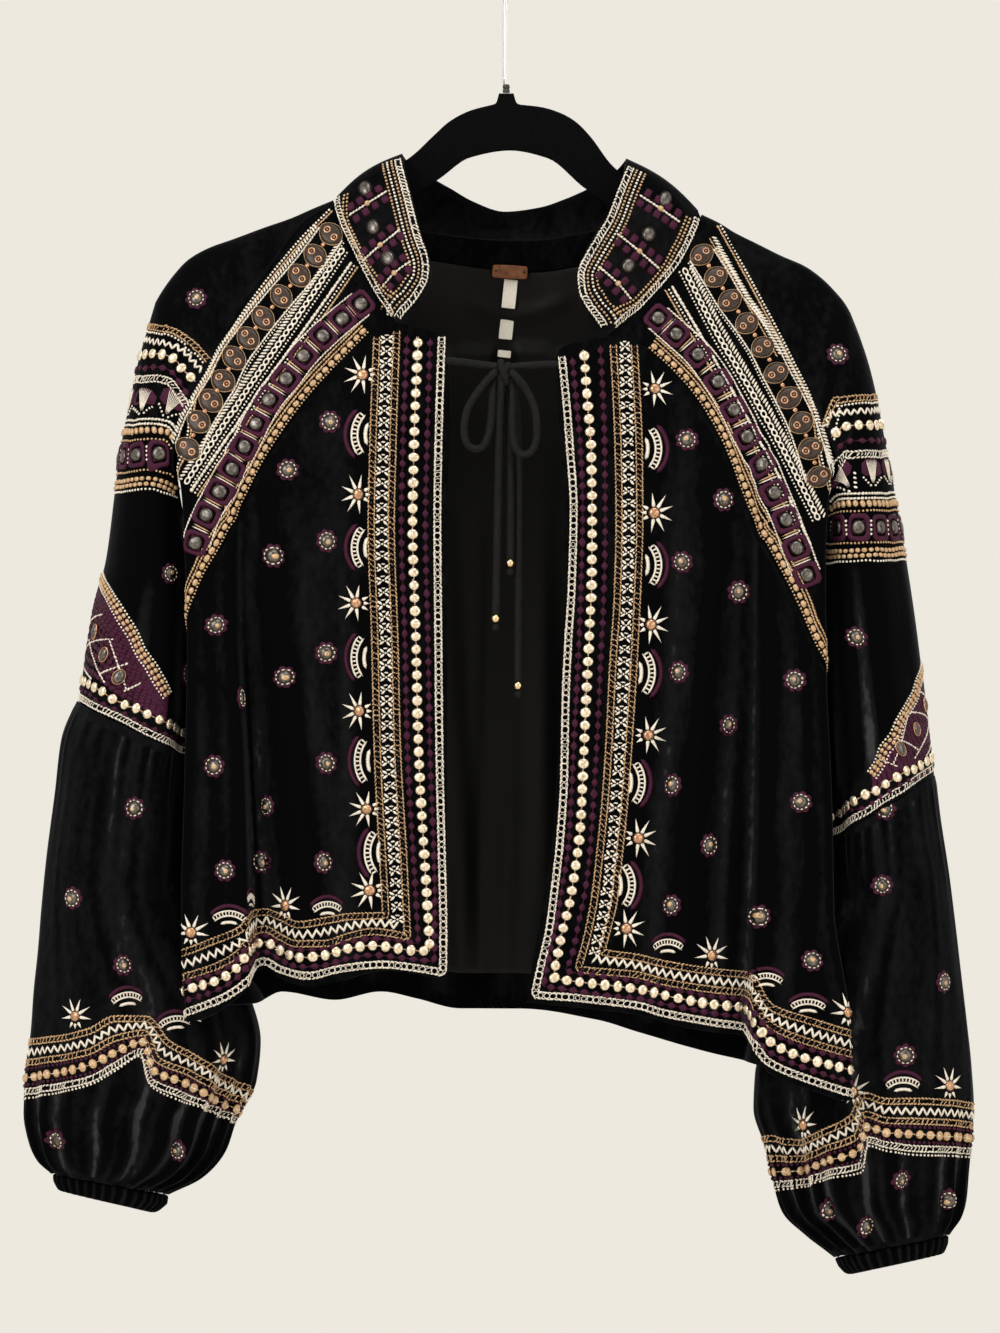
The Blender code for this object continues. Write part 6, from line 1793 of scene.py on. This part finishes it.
for side, name in SIDES:
    around = np.linspace(0, 2 * math.pi, 272, endpoint=False)[None]
    profile = np.concatenate([np.linspace(0, 0.45, 14), [0.47, 0.5, 0.53], np.linspace(0.56, 1, 6)])
    grid = cuff_surface(side, around, profile[:, None])
    rows, columns, _ = grid.shape
    faces = grid_faces(rows + 1, columns, closed=True) % (rows * columns)
    piece = put_together("velvet_cuff_" + name, grid.reshape(-1, 3), faces[:, ::side["sign"]],
                         [black_velvet])
    # Painted sheen and shade: the cuff's colour is lighter on each rib and darker in each hollow.
    paint_sheen(piece, 0.5 + 0.16 * cuff_ribs(around) + 0 * profile[:, None])
    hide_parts("cuff_" + name)

# ---------------------------------------------------------------------------------------
# Collar: one band of velvet that stands round the back of the neck, embroidered on its
# outer face, with both front ends turned so that they show it.
LEFT["collar"] = [
    (75.5, 278.5, 45, 71, 281, 48), (84, 266, 41, 57, 263, 52), (92, 253, 36, 51.5, 248, 50),
    (100, 238, 29, 52.5, 236, 47), (108, 222, 21.5, 58, 219, 39), (115, 207, 14.5, 65, 191, 26),
    (118, 196, 8, 71, 167, 13), (117.6, 190.6, 0, 72, 160.6, 0),
    (117, 194.6, -8.6, 68, 166, -13), (99, 200.8, -20.5, 55, 174, -26),
    (79.6, 206.8, -29.5, 47, 178.5, -35), (52, 211.8, -38, 38, 183, -44),
    (26, 215.2, -42, 22, 192, -48)]
RIGHT["collar"] = [
    (69.6, 288.4, 46, 67, 289.5, 50), (86, 275, 41, 55, 271, 53), (97, 264.6, 36.5, 51, 257, 51),
    (110, 250.6, 28, 53, 240, 47), (121.6, 236, 21, 62, 219, 40), (130, 220, 14.5, 74, 200, 29),
    (135, 206.4, 8, 84, 171, 14), (135, 200, 0, 85, 164, 0),
    (134.6, 204.2, -8.6, 80, 170, -13), (118, 203.4, -19, 69, 178, -25),
    (95, 204, -27.5, 58, 184, -34), (56, 211.8, -37.5, 42, 190.5, -43),
    (28, 215.8, -42, 24, 196.2, -47)]
COLLAR_CENTRE = (0, 216.4, -43.5, 0, 199, -49)
COLLAR_CROWN = 4.0

COLLAR_ROWS = np.array([(-r[0], r[1], -r[2], -r[3], r[4], -r[5]) for r in LEFT["collar"]]
                       + [tuple(np.multiply(COLLAR_CENTRE, (1, 1, -1, 1, 1, -1)))]
                       + [(r[0], r[1], -r[2], r[3], r[4], -r[5])
                          for r in RIGHT["collar"][::-1]], float)
COLLAR_END = len(COLLAR_ROWS) - 1


def collar_point(run, w):
    """Point of the collar: run counts its sections from the left tip to the right one, w goes
    from its seam to its free edge, and each straight section bows outwards by a crown.
    """
    run, w = np.broadcast_arrays(np.asarray(run, float), np.asarray(w, float))

    def ends(at):
        """Points on the seam and on the free edge."""
        value = read_rows(COLLAR_ROWS, at)
        return (np.stack([value[0], value[2], -value[1]], -1),
                np.stack([value[3], value[5], -value[4]], -1))

    seam, free = ends(run)
    seam_on, free_on = ends(np.clip(run + 0.05, 0, COLLAR_END))
    seam_off, free_off = ends(np.clip(run - 0.05, 0, COLLAR_END))
    across = unit(np.cross(free - seam, (seam_on + free_on - seam_off - free_off) / 2))
    return seam + (free - seam) * w[..., None] + COLLAR_CROWN * across * np.sin(
        math.pi * w)[..., None]


collar_run = np.linspace(0, COLLAR_END, 210)[:, None]
collar_foot = 0.34 * smooth_step(collar_run, 7, 9.5) * (1 - smooth_step(collar_run, 16.5, 19))
collar_w = -collar_foot + (1 + collar_foot) * np.linspace(0, 1, 26)[None]
# The collar's colour is set lighter where flat than the fronts', a painted sheen.
collar = cloth("velvet_collar", collar_point(collar_run, collar_w), VELVET, black_velvet,
               outside=1, rim=0.8, flat_sheen=0.6)
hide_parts("collar")

LEFT["collar_rows"] = {"c_free": [(74.9, 164.6), (72.8, 177), (67.2, 198.2), (59.8, 223.3), (56,
    237.4), (56, 247.9), (62.3, 260.5), (74.9, 276.6)], "c_seam": [(117.6, 191.2), (116.9, 208),
    (112.3, 222), (99.8, 244.4), (88.5, 260.5), (77.7, 274.5)], "c_beads": [(112, 189.1), (110.6,
    212), (99.8, 234.6), (83.3, 258.4), (76.3, 264)], "c_bars": [[(109.2, 203.8), (82.9, 187)],
    [(98, 235.3), (73.5, 214.3)], [(85.4, 254.9), (65.4, 237.4)]], "c_discs": [(98.3, 184.9),
    (92.4, 212.6), (81.9, 234.6)]}
RIGHT["collar_rows"] = {"c_free": [(88.2, 170.2), (79.8, 191.2), (68.6, 216.4), (58.5, 232.5),
    (53.6, 245.1), (53.6, 255.2), (58.8, 267.5), (69.3, 282.9)], "c_seam": [(134.4, 205.2),
    (124.6, 229), (112, 251.4), (95.9, 269.6), (76.3, 281.5)], "c_beads": [(129.5, 205.2), (119.7,
    227.6), (107.1, 248.6), (91.7, 265.4), (74.9, 275.9)], "c_bars": [[(94.2, 189.7), (122.2,
    208.3)], [(78.4, 217.1), (107.1, 241.6)], [(65.4, 240.9), (87.9, 263.3)]], "c_discs": [(112,
    192.6), (100.8, 217.5), (85.4, 240)]}


def on_collar(side, places):
    """Run and w of what the front shows of a collar's turned end at each reach and drop."""
    low, high = (0, 7.2) if side["sign"] < 0 else (18.8, COLLAR_END)
    runs, levels = np.meshgrid(np.linspace(low, high, 150), np.linspace(0.02, 0.98, 60))
    return nearest(side, places, collar_point(runs, levels), runs, levels)


panel = Panel(collar_point, 0.02, 0.01, 1)
for side, name in SIDES:
    rows = side["collar_rows"]
    free = on_collar(side, rows["c_free"])
    seam = on_collar(side, rows["c_seam"])
    beads = on_collar(side, rows["c_beads"])
    inward = 1 if free[-1, 0] > free[0, 0] else -1
    ladder_row(panel, free, CREAM, 1.9, 2.6)
    for at in (4.6, 7.8, 11.0):
        knot_row(panel, free, inward * at, GOLD if at != 7.8 else CREAM, 2.0, 2.7)
    inward = -1 if seam[-1, 0] > seam[0, 0] else 1
    ladder_row(panel, seam, CREAM, 1.8, 2.6)
    knot_row(panel, beads, 0, GOLD, 2.2, 2.8)
    knot_row(panel, beads, inward * 3.0, GOLD, 2.0, 2.8)
    for pair in rows["c_bars"]:
        line = middled(on_collar(side, pair))
        cord_row(panel, line, 0, CREAM, 1.7)
        for at in (-5.0, 5.0):
            sew(panel, satin_leaf(PURPLE, 5), lay(panel, line, 6.8, at), (6.0, 6.8, 1.4))
        sew(panel, disc(GOLD, 10), (line[1:2], line[2:] - line[:1]), (4.2, 4.2, 2.2))
    discs = turned_to(on_collar(side, rows["c_discs"]), (1, 0))
    ringed = group([set_at(disc(PEWTER, 18), size=(10.4, 8.4, 2.0)),
                    set_at(ring_shape(20, 0.86, BROWN), size=(11.8, 9.8, 1.2))])
    sew(panel, ringed, discs, broad=True, uneven=0.06)

# Round the back of the neck the same borders run on between the turned ends.
def behind(level):
    """A row round the back of the collar at one share of its height."""
    return [(run, level) for run in np.linspace(7.4, 18.6, 12)]


for level in (-0.12, 0.86):
    ladder_row(panel, behind(level), CREAM, 1.8, 2.6)
for level in (0.06, 0.7):
    knot_row(panel, behind(level), 0, GOLD, 2.0, 2.8)
leaf_row(panel, behind(0.2), wide=4.8)
disc_row(panel, behind(0.38), 7.0, 8.8)
leaf_row(panel, behind(0.56), wide=4.8)
sewn = embroider("embroidery_collar", panel)

# ---------------------------------------------------------------------------------------
# Neck tag and tape: a bare brown leather tag held by a stitch at each end, and three short
# lengths of woven cream tape below it.
TAG = (25.0, 1.4, 9.6)
TAG_CENTRE = (3.5, 242.0)
TAG_TILT = 3.0
# Each tape's name, x, drop, width and height.
TAPES = [("tape_upper", 3.3, 257.4, 9.7, 20.4), ("tape_middle", 0.9, 282.4, 9.5, 13.8),
         ("tape_lower", -0.5, 299.6, 9.3, 5.0)]
TAPE_WALL = 0.8
TAPE_TILT = 6.0

leather = new_surface("brown_tag_leather", (0.24, 0.085, 0.03), 0.6, Specular_IOR_Level=0.25)
ramp(leather, "Base Color", grain(leather, 5, 5), (0.3, (0.09, 0.03, 0.011)),
     (0.7, (0.20, 0.075, 0.03)))
raised(leather, grain(leather, 0.7, 3), 0.08)

tape_cloth = new_surface("cream_woven_tape", (0.78, 0.72, 0.6), 0.75)
ramp(tape_cloth, "Base Color", grain(tape_cloth, 0.6, 2, (1, 1, 0.3)),
     (0.3, (0.84, 0.78, 0.68)), (0.7, (0.98, 0.94, 0.86)))
raised(tape_cloth, grain(tape_cloth, 0.5, 2, (0.3, 1, 1)), 0.06)


def leaned(x, z, tilt):
    """Flat places turned by a tilt in degrees in the front view."""
    c, s = math.cos(math.radians(tilt)), math.sin(math.radians(tilt))
    return x * c + z * s, z * c - x * s


def rounded_plate(size, corner, tilt, centre):
    """Flat plate with round corners: rings from its middle out to the edge, on both faces.

    Its outline is a rounded rectangle, and its edge is rounded over by the outer rings.
    """
    wide, thick, tall = size
    turn = np.linspace(0, 2 * math.pi, 64, endpoint=False)
    c, s = np.cos(turn), np.sin(turn)
    outline = np.stack([np.clip(c * 2, -1, 1) * (wide / 2 - corner) + c * corner,
                        np.clip(s * 2, -1, 1) * (tall / 2 - corner) + s * corner], 1)
    rings = []
    for share, depth in ((0.02, 1), (0.5, 1), (0.9, 1), (0.97, 0.9), (1.0, 0.55), (1.0, -0.55),
                         (0.97, -0.9), (0.9, -1), (0.5, -1), (0.02, -1)):
        flat = outline * share
        rings.append(np.stack([flat[:, 0], np.full(64, -depth * thick / 2), flat[:, 1]], 1))
    points = np.array(rings)
    x, z = leaned(points[..., 0], points[..., 2], tilt)
    points = np.stack([x + centre[0], points[..., 1] + centre[1], z + centre[2]], -1)
    quads = grid_faces(len(rings), 64, closed=True)
    first = np.stack([np.full(62, 0), np.arange(2, 64), np.arange(1, 63)], 1)
    last = (len(rings) - 1) * 64
    faces = np.concatenate([in_threes(quads), first, last + first[:, ::-1]])
    return points.reshape(-1, 3), faces


tag_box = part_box("leather_tag")
tag_y = (tag_box[0][1] + tag_box[1][1]) / 2 / MM
points, faces = rounded_plate(TAG, 2.4, TAG_TILT, (TAG_CENTRE[0], tag_y, -TAG_CENTRE[1]))
small, parts, _ = group([set_at(shape, at * 9.8, 0.3, 12 * at, (2.2, 1.0, 0.5))
                         for at in (-1, 1) for shape in (
                             stitch(BROWN), set_at(disc(BROWN, 10), size=(0.9, 2.0, 0.6)))])
x, z = leaned(small[:, 0], small[:, 1], TAG_TILT)
small = np.stack([x + TAG_CENTRE[0], tag_y - TAG[1] / 2 - small[:, 2], z - TAG_CENTRE[1]], 1)
tag = put_together("leather_neck_tag", np.concatenate([points, small]),
                   np.concatenate([faces, parts + len(points)]), [leather, threads[BROWN]],
                   which=np.arange(len(faces) + len(parts)) >= len(faces))
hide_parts("leather_tag")
for name, x, drop, wide, tall in TAPES:
    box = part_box(name)
    y = (box[0][1] + box[1][1]) / 2 / MM
    points, faces = rounded_plate((wide, TAPE_WALL, tall), 0.5, TAPE_TILT, (x, y, -drop))
    tape = put_together("woven_" + name, points, faces, [tape_cloth])
    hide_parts(name)

bpy.context.view_layer.update()
